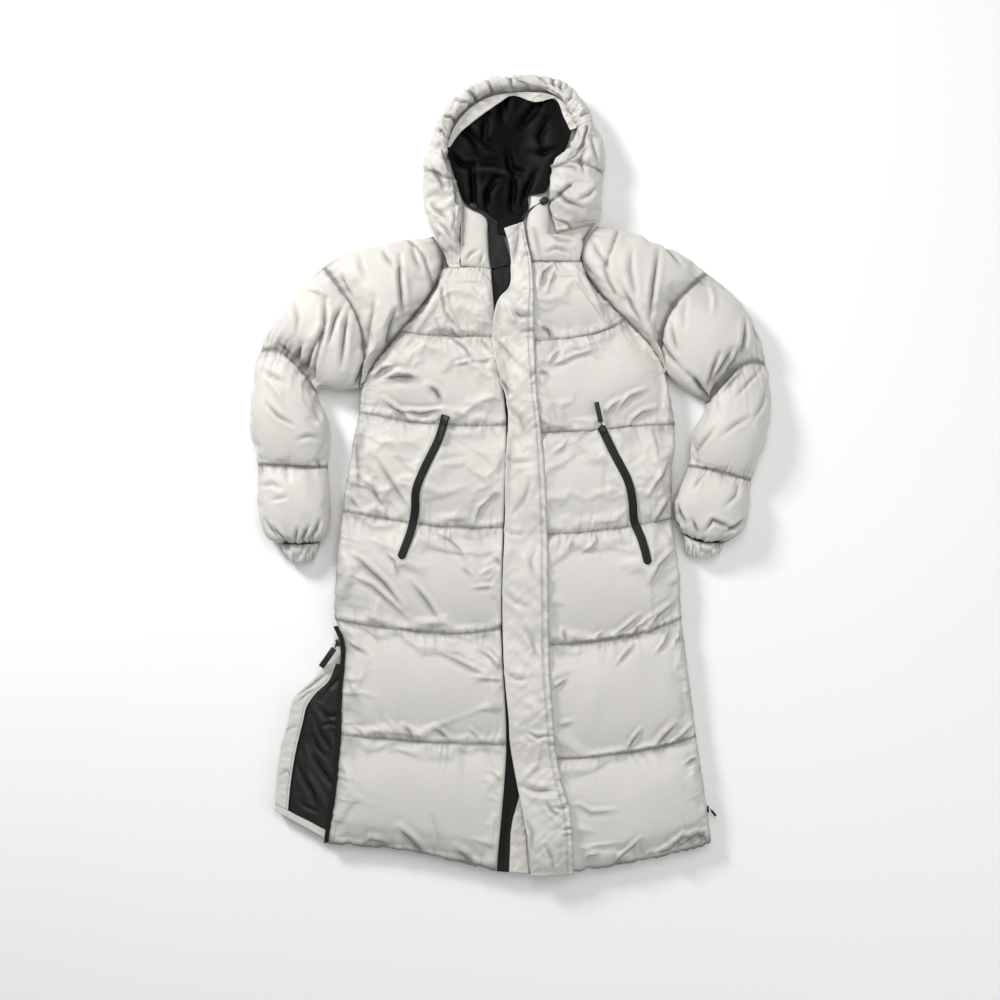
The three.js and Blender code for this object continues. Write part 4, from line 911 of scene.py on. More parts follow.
def hoodArch(side):
    columns = hoodCut["topColumns"] + hoodCut["underColumns"]
    turnToTop = hoodCut["topColumns"] / columns

    def rowAt(down):
        outer, inner = rowPoints(hoodRows[side], down * (len(hoodRows[side]) - 1))
        width = math.dist(outer, inner)
        loft = hoodLoftAt(side, down)
        wall = min(layers["hoodWall"], width * 0.8)
        hollow = 0.6 + min(max((width - 34) / 20, 0), 1) * (loft - 18)
        rim = loft * (0.5 + (0.36 * (1 - smooth(down / 0.45)) if side == "right" else 0))
        under = [(1, rim), (0.985, hollow), (wall / width + 0.06, hollow), (wall / width, 0), (0.12, 0), (0, 6)]

        def at(turn):
            if turn <= turnToTop:
                share = 0.5 - 0.5 * math.cos(math.pi * turn / turnToTop)
                t = abs(2 * share - 1)
                edge = 6 + (rim - 6) * smooth(share)
                z = edge + (loft - edge) * max(1 - t ** 2.6, 0) ** (1 / 2.6)
            else:
                back = (turn - turnToTop) / (1 - turnToTop) * (len(under) - 1)
                k = min(int(back), len(under) - 2)
                share = under[k][0] + (under[k + 1][0] - under[k][0]) * (back - k)
                z = under[k][1] + (under[k + 1][1] - under[k][1]) * (back - k)
            return (outer[0] + (inner[0] - outer[0]) * share, outer[1] + (inner[1] - outer[1]) * share,
                    layers["frontBase"] + z)
        return at
    return tubeMesh(f"hoodArch_{side}", columns, hoodCut["rows"][side], rowAt)


# Seams on the hood: the channel beside the opening, the side panels' quilting and the chin guards' edges.
hoodSeams = {
    "right": [[(-92, 590), (-103, 560), (-100, 520), (-96, 500)], [(-153, 560), (-120, 545), (-104, 545)]],
    "crown": [],
    "left": [[(77, 568), (108, 577), (135, 573), (171, 558)], [(140, 636), (132, 605), (119, 586), (101, 577)],
             [(54, 499), (80, 508), (110, 531)]],
}
hoodCreases = {
    "right": [
        [[(441, 150), (447, 162), (452, 178)], 4, 4], [[(432, 172), (439, 181), (446, 196)], 5, 5],
        [[(430, 205), (438, 214), (450, 222)], 5, 4.5], [[(436, 136), (444, 139), (449, 146)], 4, 4],
        [[(455, 205), (457, 222), (453, 238)], 4, 3], [[(436, 226), (446, 233), (455, 246)], 4, 4],
    ],
    "crown": [
        [[(466, 90), (472, 98), (478, 105)], 4, 8], [[(472, 89), (477, 99)], 3, 5],
        [[(487, 83), (491, 92), (493, 98)], 3, 5],
        [[(508, 78), (511, 86), (512, 93)], 3.5, 6], [[(516, 84), (521, 88), (527, 91)], 4, 4],
        [[(538, 80), (543, 85), (549, 91)], 3.5, 6], [[(553, 82), (552, 88), (556, 94)], 3.5, 6.5],
        [[(562, 87), (559, 92), (562, 97)], 3.5, 6], [[(444, 121), (452, 122), (458, 126)], 3.5, 5],
        [[(437, 134), (443, 136), (448, 141)], 3.5, 5.5], [[(455, 102), (462, 107), (470, 108)], 3.5, 4.5],
        [[(588, 116), (581, 120), (577, 122)], 3.5, 4], [[(592, 128), (586, 130), (579, 133)], 3.5, 4],
        [[(572, 97), (570, 103), (565, 108)], 3.5, 4.5],
    ],
    "left": [
        [[(556, 196), (566, 206), (581, 212)], 5, 5.5], [[(585, 150), (580, 165), (584, 182)], 5, 4.5],
        [[(560, 170), (572, 172), (580, 180)], 5, 4.5], [[(596, 190), (588, 200), (577, 205)], 5, 4],
        [[(556, 222), (566, 226), (578, 236)], 4, 4], [[(590, 140), (594, 156), (598, 168)], 4, 4],
    ],
}
for side in hoodRows:
    arch = hoodArch(side)
    x, y, turn, down = placesOf(arch)
    pinned = atEnds(down) | (pointsOf(arch)[:, 2] / mm < layers["frontBase"] + hoodCut["flatBelow"])
    for line in hoodSeams[side]:
        pinned |= nearLine(x, y, line)[0] < hoodCut["seamHold"]
    toPuff(f"hoodArch_{side}", arch, pinned, hoodCut)

print("cloth laid out, puffing it up")
puffed = puffAll()
print("cloth puffed up")

# Fronts: finer, creased, gathered at their seams, seated under the zips and closed below.
fittings = treeOf([nodes[name] for name in (
    "pocket_zip_pull_right", "pocket_zip_pull_left", "pocket_zip_slider_right", "pocket_zip_slider_left",
    "side_zip_slider", "slit_zip_pull", "slit_zip_slider")])
zipNodes = {side: treeOf([nodes[f"pocket_zip_tape_{side}"]])[0] for side in ("right", "left")}
zipSeat = {"below": 0.6 * mm, "reach": 17, "fade": 9}


# Lays a front's cloth just under its pocket's tape and lets it rise again beside it.
def seatUnderZip(spots, side):
    away, along = nearLine(spots[:, 0] / mm, spots[:, 1] / mm, pocketLines[side])
    route = splinePoints([(x * mm, y * mm, 0) for x, y in pocketLines[side]], 40)
    heights = []
    for point in route:
        found = underAt(zipNodes[side], point.x, point.y)
        heights.append(found if found is not None else (heights[-1] if heights else None))
    first = next(h for h in heights if h is not None)
    heights = [first if h is None else h for h in heights]
    seat = np.interp(along, np.linspace(0, 1, len(heights)), heights) - zipSeat["below"]
    hold = np.clip((zipSeat["reach"] - away) / zipSeat["fade"], 0, 1)
    hold = hold * hold * (3 - 2 * hold)
    spots[:, 2] += (seat - spots[:, 2]) * hold


# A spot and the four round it, each at a reach.
def around(reach):
    return (0, 0), (reach, 0), (-reach, 0), (0, reach), (0, -reach)


def keepUnder(spots, trees, gap, reach):
    for k, (x, y, z) in enumerate(spots):
        for tree in trees:
            for dx, dy in around(reach):
                low = underAt(tree, x + dx * mm, y + dy * mm)
                if low is not None and z > low - gap:
                    z = spots[k, 2] = low - gap


frontLooks = {"right": {"seed": 11, "foldTurns": (14, 62)}, "left": {"seed": 23, "foldTurns": (166, 118)}}
for side, look in frontLooks.items():
    mesh = refined(puffed[f"frontSheet_{side}"])
    spots, normals = pointsOf(mesh), normalsOf(mesh)
    x, y, across, place = placesOf(mesh)
    place *= baffles
    toSide, length = across * frontCut["width"], frontCut["baffleLength"]
    rise, paintedShade, nearSeam = gathers(place, toSide, length, frontCut["gathers"], look["seed"])
    inside = np.clip(np.minimum(across, 1 - across) / 0.04, 0, 1)
    rise += softFolds(x, y, frontCut["folds"] * 1.5, 38, look["foldTurns"][0], 4) * inside
    rise += softFolds(x, y, frontCut["folds"], 60, look["foldTurns"][1], 9) * inside
    sideComb = softNoise(place * length / 7, toSide / 18, 47) * np.exp(-toSide / 12)
    sidePleat = np.exp(-(softNoise(place * length / 19, toSide / 60, 49) / 0.22) ** 2) * np.exp(-toSide / 26)
    rise += 1.1 * sideComb - 2.2 * sidePleat * np.clip(toSide / 4, 0, 1)
    deep = creased(x, y, frontCreases[side]) * inside
    spots += normals * ((rise - deep) * mm)[:, None]
    hem = np.clip((place - 5.82) / 0.18, 0, 1)
    spots[:, 1] += (1.8 * softNoise(x / 13, 0 * x, 6) + 1.6 * softNoise(x / 30, 0 * x, 8)) * hem * mm
    # Painted shade: darker along the panel's edges where it meets the next piece, at the hem and in the side pleats,
    # added to the creases' shade.
    edgeShade = np.exp(-np.minimum(across, 1 - across) * frontCut["width"] / 3)
    markShadeAndSeams(mesh, paintedShade + paintedCreaseShade(deep) + 0.5 * edgeShade + 0.3 * hem ** 4 + 0.35 * sidePleat, nearSeam)
    seatUnderZip(spots, side)
    near = np.flatnonzero(nearLine(x, y, pocketLines[side])[0] < 60)
    pressed = spots[near]
    keepUnder(pressed, [*fittings, zipNodes[side]], 0.7 * mm, 4)
    spots[near] = pressed
    spots[:, 2] = np.maximum(spots[:, 2], (layers["frontBase"] + 1.5) * mm)
    setPoints(mesh, spots)
    padded(f"front_{side}", closedBelow(mesh))
print("fronts finished")

sleeveCreases = {
    "right": [
        [[(401, 257), (402, 281), (405, 318)], 5, 6.5], [[(397, 313), (392, 331), (386, 361)], 5, 6],
        [[(411, 245), (418, 265), (423, 273)], 5, 4.5], [[(382, 249), (389, 262), (399, 273)], 5, 4],
        [[(436, 243), (443, 254), (447, 262)], 4, 4], [[(346, 305), (337, 324), (332, 346)], 5, 6],
        [[(350, 314), (347, 340), (344, 368)], 5, 5.5], [[(328, 301), (328, 327), (322, 351), (312, 380)], 5, 7],
        [[(324, 336), (314, 354), (305, 373)], 6, 7.5], [[(304, 347), (297, 362)], 5, 5],
        [[(366, 367), (361, 377), (356, 387)], 5, 5], [[(342, 276), (349, 292), (354, 300)], 4, 4],
        [[(310, 292), (319, 294), (329, 300)], 4, 4], [[(376, 300), (372, 322), (366, 348)], 6, 4],
        [[(295, 305), (300, 322), (298, 340)], 6, 3.5], [[(360, 255), (362, 270), (368, 285)], 6, 3],
        [[(280, 346), (285, 350), (290, 357)], 3.5, 3.5], [[(270, 406), (282, 418), (296, 426)], 4, 4.5],
        [[(264, 371), (274, 377), (290, 385)], 5, 3.5], [[(271, 382), (283, 396), (290, 413)], 5, -3],
        [[(299, 397), (312, 414), (326, 431)], 5, -3], [[(300, 441), (312, 437), (322, 440)], 5, 3],
        [[(276, 527), (281, 534), (288, 542)], 4, 5.5], [[(300, 528), (299, 535), (297, 542)], 4, 5],
        [[(311, 527), (307, 534), (303, 542)], 4, 5.5], [[(322, 520), (318, 530), (311, 541)], 4, 5],
        [[(268, 520), (273, 529), (281, 540)], 4, 5], [[(262, 486), (275, 484), (283, 488)], 5, 3],
        [[(275, 500), (290, 497)], 5, 2.5], [[(318, 460), (322, 468)], 4, 4],
    ],
    "left": [
        [[(657, 252), (651, 291), (648, 323)], 5, 6], [[(661, 242), (670, 254), (680, 268)], 5, 4.5],
        [[(574, 246), (583, 265), (596, 282)], 5, 5], [[(590, 240), (598, 256), (606, 270)], 5, 4],
        [[(630, 250), (628, 275), (634, 305)], 6, 4], [[(618, 286), (628, 306), (640, 330)], 5, 4.5],
        [[(708, 285), (711, 300), (710, 316)], 5, -3.5], [[(743, 322), (742, 340), (738, 359)], 5, 6],
        [[(750, 325), (754, 333), (756, 342)], 5, 4], [[(693, 382), (699, 391), (707, 401)], 5, 6.5],
        [[(668, 326), (671, 340), (675, 355)], 4, 4.5], [[(657, 340), (666, 356), (678, 370)], 5, 5],
        [[(728, 352), (722, 366), (712, 384)], 4.5, 6],
        [[(716, 356), (710, 372), (706, 392)], 4.5, 5], [[(737, 350), (734, 360), (728, 371)], 4, 5],
        [[(680, 372), (690, 380), (700, 392)], 6, 4],
        [[(684, 300), (680, 315), (682, 332)], 5, 3], [[(741, 370), (731, 380), (720, 392)], 4, 4.5],
        [[(760, 369), (747, 382), (731, 399)], 4, 4], [[(719, 436), (733, 425), (748, 417)], 5, 3.5],
        [[(691, 457), (700, 443), (711, 430)], 5, 3.5], [[(765, 385), (760, 405), (748, 424)], 5, 3],
        [[(691, 489), (696, 481), (703, 473)], 4, 3.5], [[(676, 506), (678, 514), (683, 523)], 4, 7],
        [[(703, 531), (710, 520), (731, 529)], 4, 6.5], [[(723, 532), (733, 527), (744, 519)], 4, 6.5],
        [[(690, 520), (693, 527), (696, 534)], 4, 5.5], [[(737, 482), (733, 496), (722, 506)], 5, 3.5],
    ],
}
sleeveLooks = {"right": {"seed": 31, "foldTurns": (10, 40)}, "left": {"seed": 37, "foldTurns": (170, 140)}}
for side, look in sleeveLooks.items():
    mesh = refined(puffed[f"sleeveTube_{side}"])
    spots, normals = pointsOf(mesh), normalsOf(mesh)
    x, y, turn, place = placesOf(mesh)
    place *= sleeveBaffles
    length = sleeveCut["baffleLength"]
    above = np.clip((spots[:, 2] / mm - 14) / 14, 0, 1) * np.clip(place / 0.1, 0, 1)
    rise, paintedShade, nearSeam = gathers(place, turn * sleeveCut["round"], length, sleeveCut["gathers"], look["seed"])
    rise += softFolds(x, y, sleeveCut["folds"], 55, look["foldTurns"][0], 14) * np.clip(2.3 - place, 0.3, 1)
    rise += softFolds(x, y, sleeveCut["folds"] * 0.5, 26, look["foldTurns"][1], 15)
    atCuff = np.exp(-np.maximum(sleeveBaffles - place, 0) * length / 16)
    rise += atCuff * 2.6 * softNoise(turn * 34, place * 3, 17)
    elbow = stepDown(x, y, elbowLines[side], -inwards[side], 20, 10)
    shoulder = grooved(x, y, [shoulderLines[side]], 3, 5)
    deep = creased(x, y, sleeveCreases[side]) + elbow + shoulder
    spots += normals * ((rise - deep) * above * mm)[:, None]
    spots[:, 2] = np.maximum(spots[:, 2], 0)
    setPoints(mesh, spots)
    # Painted shade: in the creases, at the raglan seam and towards the cuff.
    raglan = np.exp(-place * length / 4)
    markShadeAndSeams(mesh, paintedShade + paintedCreaseShade(deep - 0.7 * elbow) + 0.6 * raglan + 0.3 * atCuff, nearSeam + atCuff)
    padded(f"sleeve_{side}", sewnShut(meshCopy(mesh), 0.02))
print("sleeves finished")

for side in hoodRows:
    mesh = refined(puffed[f"hoodArch_{side}"])
    spots, normals = pointsOf(mesh), normalsOf(mesh)
    x, y, turn, down = placesOf(mesh)
    above = np.clip((spots[:, 2] / mm - layers["frontBase"] - 4) / 10, 0, 1)
    run = down * hoodCut["length"][side]
    if side == "crown":
        fine = np.exp(-(softNoise(run / 14 + 0.3 * np.sin(turn * 6), turn * 2, 18) / 0.18) ** 2)
        rise = 0.7 * softNoise(run / 8, turn * 2.5, 3) + 1.2 * softNoise(run / 34, turn * 1.5, 9) - 0.9 * fine
        paintedShade = 0.15 * fine
    else:
        rise = softFolds(x, y, 1.8, 34, 70, 21) + softFolds(x, y, 0.8, 15, 20, 25)
        paintedShade = np.zeros(len(x))
    lines = grooved(x, y, hoodSeams[side], 3, 5)
    away = np.minimum.reduce([nearLine(x, y, line)[0] for line in hoodSeams[side]] + [np.full(len(x), 99)])
    near = np.exp(-away / 14)
    rise += near * 1.6 * softNoise((x + y) / 6, (x - y) / 7, 29)
    deep = lines + creased(x, y, hoodCreases[side])
    spots += normals * ((rise - deep) * above * mm)[:, None]
    # Painted shade in the creases and beside the seams.
    markShadeAndSeams(mesh, paintedShade + paintedCreaseShade(deep) + 0.25 * near, near + (0.6 if side == "crown" else 0.0))
    spots[:, 2] = np.maximum(spots[:, 2], layers["frontBase"] * mm)
    setPoints(mesh, spots)
    padded(f"hood_{side}", closedEnds(mesh))
print("hood finished")

# Back panels that rest flat: quilted edges rounded up, top level under what lies on them.
backCut = {"underColumns": 26, "topColumns": 40, "roll": 8, "rollWidth": 10, "pinchLength": 180, "pinch": 3.0}
hoodBackRows = [
    [(-118, 382), (124, 394.6)], [(-119, 408), (127, 416)], [(-130, 437), (140, 446)], [(-152, 474), (163, 484)],
    [(-158, 520), (169, 524)], [(-157, 560), (172, 572)], [(-150, 605), (166, 618)], [(-128, 658), (148, 660)],
    [(-93, 698), (112, 712)], [(-45, 722), (62, 730)],
]


def flatPanel(rowCount, endsAt, edgeShare):
    total = backCut["underColumns"] + backCut["topColumns"]

    def rowAt(down):
        left, middle, right, lift = endsAt(down)

        def at(turn):
            k = turn * total if turn < 0.999 else 0
            onTop = k > backCut["underColumns"]
            run = (k - backCut["underColumns"]) / backCut["topColumns"] if onTop else k / backCut["underColumns"]
            share = 0.5 - 0.5 * math.cos(math.pi * run)
            share = 1 - share if onTop else share
            x, y = parabola(left, middle, right, share)
            toEdge = min(share, 1 - share)
            bend = max(1 - quarterRound(toEdge, edgeShare), lift)
            rim = math.dist(left, right) * toEdge
            roll = backCut["roll"] * (1 - quarterRound(rim, backCut["rollWidth"])) + 3 * lift
            return x, y, layers["backLoft"] - roll if onTop else layers["backEdgeRise"] * bend
        return at
    return tubeMesh("panel", total, rowCount, rowAt)


def backEnds(down):
    place = down * baffles
    left, right = (sideEdge(side, backSides[side], place) for side in ("right", "left"))
    lift = max(0, 1 - min(place, baffles - place) / 0.12)
    return left, rowPoints(quiltSeams["back"], place)[0], right, lift


def hoodBackEnds(down):
    left, right = rowPoints(hoodBackRows, down * (len(hoodBackRows) - 1))
    return left, ((left[0] + right[0]) / 2, (left[1] + right[1]) / 2), right, 0


panels = {
    "back_panel": {"name": "back_cloth", "rows": 170, "endsAt": backEnds, "edgeShare": 0.08, "baffles": baffles},
    "hood_back": {"name": "hood_back_cloth", "rows": 70, "endsAt": hoodBackEnds, "edgeShare": 0.06, "baffles": 3},
}
for node, look in panels.items():
    mesh = flatPanel(look["rows"], look["endsAt"], look["edgeShare"])
    spots, normals = pointsOf(mesh), normalsOf(mesh)
    spots /= mm
    sides = np.clip((1 - np.abs(normals[:, 2])) * 1.6, 0, 1)
    run = spots[:, 1] + 0.3 * spots[:, 0]
    place = shareOf(mesh, "along") * look["baffles"]
    pinch = np.exp(-np.abs(place - np.round(place)) * backCut["pinchLength"] / 9)
    rise = 1.7 * softNoise(run / 16, spots[:, 2] / 30, 41) + 1.1 * softNoise(run / 6, spots[:, 2] / 20, 43)
    spots += normals * ((rise - backCut["pinch"] * pinch) * sides)[:, None]
    spots[:, 2] = np.clip(spots[:, 2], 0, layers["backLoft"] + 0.1)
    setPoints(mesh, spots * mm)
    # Painted shade where the quilted seams pinch the rounded edges.
    markShadeAndSeams(mesh, 0.7 * pinch * sides, sides)
    padded(node, closedEnds(mesh), look["name"])
print("back panels finished")

# Cuffs: elastic gathers that run to the open end, with a slit inside.
cuffCut = {"columns": 110, "rows": 20, "pleats": 15, "pleat": 2.8, "slit": 1.6, "slitWidth": 0.84, "topShare": 0.6,
           "swell": 4, "length": 40}


def cuffWave(share, down):
    ridge = softNoise(share * cuffCut["pleats"] + 0.4 * softNoise(share * 3, down * 1.5, 133), down * 0.8, 131)
    return 1 - 2.2 * np.exp(-(ridge / 0.3) ** 2)


# How far a turn round the cuff has come over its top, or back below it.
def cuffShare(turn):
    return turn / cuffCut["topShare"] if turn <= cuffCut["topShare"] else (1 - turn) / (1 - cuffCut["topShare"])


def cuffRow(side, down, inside=False):
    start, end = sleeveRows[side][-1][1:], cuffEnds[side]
    points = [(a[0] + (b[0] - a[0]) * down, a[1] + (b[1] - a[1]) * down - 0.6) for a, b in zip(start, end)]
    seam, swell = layers["cuffSeam"] - 5, math.sin(math.pi * down)
    top = seam + (layers["cuffEnd"] - layers["cuffSeam"] + 5) * down + cuffCut["swell"] * swell
    row = tubeRow(points, top, layers["cuffMiddle"], cuffCut["topShare"])

    def at(turn):
        x, y, z = row(turn)
        if inside:
            middle = (points[0][0] + points[3][0]) / 2
            onTop = turn <= cuffCut["topShare"]
            rise = cuffCut["slit"] * math.sin(math.pi * min(turn / cuffCut["topShare"], 1)) if onTop else -0.8
            return middle + (x - middle) * cuffCut["slitWidth"], y + 1.5 * down, layers["cuffMiddle"] + rise
        rise = cuffCut["pleat"] * cuffWave(cuffShare(turn), down) * (0.65 + 0.35 * swell) + 3 * swell
        return x, y, max(z + rise * min(max((z - 14) / 6, 0), 1), 0)
    return at


for side in ("right", "left"):
    bm = bmesh.new()
    clothGrid(bm, cuffCut["columns"], cuffCut["rows"], lambda down: cuffRow(side, down))
    # Painted shade in the hollows of the pleats and at the seam to the sleeve.
    paintedShade = bm.verts.layers.float.new("paintedShade")
    for vert in bm.verts:
        turn, down = vert[bm.verts.layers.float["across"]], vert[bm.verts.layers.float["along"]]
        atSeam = math.exp(-down * cuffCut["length"] / 3)
        vert[paintedShade] = min(max(-0.35 * float(cuffWave(cuffShare(turn), down)), 0) + 0.7 * atSeam, 1)
    clothGrid(bm, cuffCut["columns"], cuffCut["rows"], lambda down: cuffRow(side, down, True))
    bmesh.ops.remove_doubles(bm, verts=bm.verts, dist=0.02 * mm)
    for lowEnd in (True, False):
        rim = openEdges(bm)
        ys = [(edge.verts[0].co.y + edge.verts[1].co.y) / 2 for edge in rim]
        middle = (min(ys) + max(ys)) / 2
        bmesh.ops.bridge_loops(bm, edges=[edge for edge, y in zip(rim, ys) if (y < middle) == lowEnd])
    padded(f"cuff_{side}", sewnShut(bm, 0.04))
print("cuffs finished")


# An open strip of cloth between a table's two edges.
def stripMesh(rows, columns, rowCount, heightAt):
    def rowAt(down):
        left, right = rowPoints(rows, down * (len(rows) - 1))

        def at(share):
            return (left[0] + (right[0] - left[0]) * share, left[1] + (right[1] - left[1]) * share,
                    heightAt(share, down))
        return at
    bm = bmesh.new()
    clothGrid(bm, columns, rowCount, rowAt)
    return meshFrom(bm, "strip")


# Strips that lie level, and their heights over the base of the top layers in millimetres.
overBase = {"lining": 12, "facing": 19, "neck": 12.2, "tape": 10.2, "underlap": 11, "slit": 1.6, "slitTape": 6.7}


def levelStrip(name, rows, columns, rowCount):
    return stripMesh(rows, columns, rowCount, lambda share, down: layers["frontBase"] + overBase[name])


# Raises a strip's points by relief, given in millimetres.
def relieved(mesh, reliefAt):
    spots = pointsOf(mesh)
    spots[:, 2] += reliefAt(*placesOf(mesh)) * mm
    setPoints(mesh, spots)
    return mesh


# Collar fronts: padded chin guards with a stitched line down the middle.
collarRows = {
    "right": [[(-91, 503), (-84, 498)], [(-91.5, 480), (-46, 476)], [(-91.5, 446), (-43, 444)],
              [(-91.5, 412), (-41, 410)], [(-91.5, 387.6), (-38, 384.6)]],
    "left": [[(38, 516), (71, 513)], [(35, 496), (72, 480)], [(30, 466), (76, 444)], [(31, 438), (130, 438)],
             [(39, 398), (128, 397.2)]],
}
collarCreases = [[[(467, 262), (471, 256), (478, 252)], 3.5, 3], [[(480, 266), (483, 256)], 3.5, 3],
                 [[(548, 236), (560, 243), (572, 244)], 4, 4], [[(545, 254), (556, 250), (570, 254)], 4, 4],
                 [[(534, 232), (538, 246), (541, 262)], 4, 4]]
collarSeams = {"right": [[(-88, 500), (-89, 460), (-88, 425)]], "left": [[(70, 514), (73, 480), (77, 446)]]}


def collarSwell(side, share):
    if side == "right":
        return math.sqrt(max(1 - share ** 3, 0))
    return max(math.sin(math.pi * share), 0) ** 0.6


collarCut = {"columns": 30, "rows": 56, "edge": 15, "swell": 10, "length": 110,
             "folds": {"right": 0.9, "left": 1.6}}


def collarHeight(share, down):
    ends = max(math.sin(math.pi * min(max(down, 0.01), 0.99)), 0) ** 0.3
    return layers["frontBase"] + collarCut["edge"] + collarCut["swell"] * collarSwell(side, share) * ends


def collarRelief(x, y, across, down):
    pucker = 2.2 * softNoise(x / 6, y / 15, 53) * np.exp(-np.abs(1 - down) * collarCut["length"] / 12)
    return (collarCut["folds"][side] * softNoise(x / 22, y / 34, 51) - grooved(x, y, collarSeams[side], 2.6, 3.5)
            - creased(x, y, collarCreases) + pucker)


for side in ("right", "left"):
    mesh = stripMesh(collarRows[side], collarCut["columns"], collarCut["rows"], collarHeight)
    x, y, across, down = placesOf(relieved(mesh, collarRelief))
    bottom = np.exp(-np.abs(1 - down) * collarCut["length"] / 5)
    # Painted shade in the creases, along the bottom seam and on the stitched line.
    markShadeAndSeams(mesh, np.maximum(creased(x, y, collarCreases), 0) / 7 + 0.5 * bottom
              + grooved(x, y, collarSeams[side], 2, 0.5), bottom)
    padded(f"collar_{side}", closedBelow(mesh))
print("collar finished")

# Hood lining: black cloth in deep loose folds.
liningRows = [
    [(-22, 446), (4, 444)], [(-44, 482), (28, 480)], [(-80, 502), (33, 500)], [(-90, 517), (34, 518)],
    [(-96, 534), (66, 528)], [(-108, 570), (78, 572)], [(-116, 606), (102, 606)], [(-99, 640), (112, 642)],
    [(-58, 668), (102, 668)], [(-24, 692), (88, 694)], [(-10, 702), (76, 703)],
]
liningCreases = [
    [[(487, 118), (483, 140), (491, 147)], 7, 6], [[(505, 94), (502, 121)], 8, 6],
    [[(521, 127), (534, 111), (543, 97)], 8, 7], [[(476, 171), (492, 171), (507, 175)], 7, -5],
    [[(529, 153), (545, 154), (557, 148)], 6, 5], [[(508, 152), (511, 170), (523, 174)], 6, 6],
    [[(448, 152), (462, 166), (474, 168)], 6, 6], [[(498, 176), (487, 194), (487, 210)], 6, 6],
    [[(514, 176), (512, 210)], 6, 5], [[(472, 165), (474, 210)], 6, 5], [[(460, 128), (473, 138), (480, 152)], 8, 5],
    [[(548, 122), (540, 138), (544, 160)], 8, 5], [[(536, 172), (528, 188), (522, 204)], 6, 5],
]


def liningRelief(x, y, across, down):
    inside = np.clip(np.minimum(across, 1 - across) / 0.08, 0, 1)
    rise = (softNoise(x / 60, y / 85, 61) * 4 - 1.35 * creased(x, y, liningCreases)) * inside
    return np.maximum(rise, -9)


# Painted shade and highlight on a lining: darker in the hollows of its folds and paler on their tops; its shade on
# the level, and the rise in millimetres that takes it away.
def shadeByRise(mesh, reliefAt, level, span):
    rise = reliefAt(*placesOf(mesh))
    markShadeAndSeams(mesh, level - rise / span, np.full(len(rise), 0.3))


lining = relieved(levelStrip("lining", liningRows, 70, 84), liningRelief)
# Painted shade in the lining's hollows and painted highlight on its folds' tops.
shadeByRise(lining, liningRelief, 0.66, 6)
sheetPiece("hood_lining", lining, 1.2, liningCloth)

# Grey facing inside the hood's opening.
facingInner = [(-112, 606), (-92, 634), (-50, 668), (-18, 690), (5, 702), (44, 690), (82, 695), (98, 662), (110, 638)]
facingRows = []
for (outer, inner), end in zip(hoodRows["crown"], facingInner):
    toward = Vector((-inner[0], 590 - inner[1])).normalized() * 0.6
    facingRows.append([(inner[0] + toward.x, inner[1] + toward.y), end])
facing = stripMesh(facingRows, 14, 120, lambda share, down: layers["frontBase"] + overBase["facing"] - 4 * share)
relieved(facing, lambda x, y, across, down: 1.1 * softNoise(down * 30, across * 1.5, 71)
         + 0.8 * softNoise(down * 60, across * 2, 73) - 1.5 * np.exp(-(softNoise(down * 22, across, 75) / 0.2) ** 2))
sheetPiece("hood_facing", facing, 1.2)

# Black facing behind the open zip at the neck.
neckRows = [[(-43, 475), (-24, 472)], [(-40.5, 444), (-12, 442)], [(-39, 411), (-3, 410)], [(-35.5, 383), (1, 391)]]
neck = levelStrip("neck", neckRows, 20, 44)
relieved(neck, lambda x, y, across, down: 0.8 * softNoise(x / 9, y / 20, 81) + 0.5 * softNoise(x / 5, y / 6, 83))
sheetPiece("neck_facing", neck, 1.2, tapeCloth)
print("lining and facings finished")


# Strips between the two fronts: the black zip tape and the crumpled facing beside it at the hem.
def betweenFronts(places, startOf, endOf):
    rows = []
    for place in places:
        a, b = (rowPoints(quiltSeams[side], place)[1] for side in ("right", "left"))
        rows.append([(a[0] + 0.6 + (b[0] - a[0] - 1.2) * share, a[1] + (b[1] - a[1]) * share)
                     for share in (startOf(place), endOf(place))])
    return rows


def tapeShare(place):
    return 1 - 0.62 * smooth(max(place - 5.1, 0) / 0.6)


tapePlaces = [0.01 + 5.99 * k / 40 for k in range(41)]
tapeRows = betweenFronts(tapePlaces, lambda place: 0, tapeShare)
tape = levelStrip("tape", tapeRows, 12, 400)
relieved(tape, lambda x, y, across, down: 0.5 * np.exp(-((across - 0.5) / 0.12) ** 2) * (1 + 0.5 * np.sin(y * 2.2))
         + 0.4 * softNoise(x / 12, y / 22, 91))
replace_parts(finished("centre_tape", thinShell(tape, 1.2), tapeCloth), "centre_zip_tape")

underPlaces = [5.3 + 0.7 * k / 8 for k in range(9)]
underRows = betweenFronts(underPlaces, lambda place: tapeShare(place) + 0.02, lambda place: 1)
underlap = levelStrip("underlap", underRows, 20, 90)
relieved(underlap, lambda x, y, across, down: 1.6 * softNoise(x / 9, y / 11, 95) + 0.9 * softNoise(x / 4, y / 7, 97))
sheetPiece("hem_underlap", underlap, 1.2)

# The open slit: grey facing, black lining, zip tape.
slitCut = {"facing": 26, "margin": 3, "tape": 9, "stitchShare": 0.84}


def slitEdges(place):
    back, front = (sideEdge("right", seams["right"], place) for seams in (backSides, frontSides))
    return back, front, math.dist(back, front)


def slitRowsOf(places, fromBack, fromFront):
    rows = []
    for place in places:
        back, front, length = slitEdges(place)
        rows.append([tuple(a + (b - a) * reach(length) / length for a, b in zip(back, front))
                     for reach in (fromBack, fromFront)])
    return rows


def facingInset(length):
    return min(slitCut["facing"] + slitCut["margin"], length * 0.55)


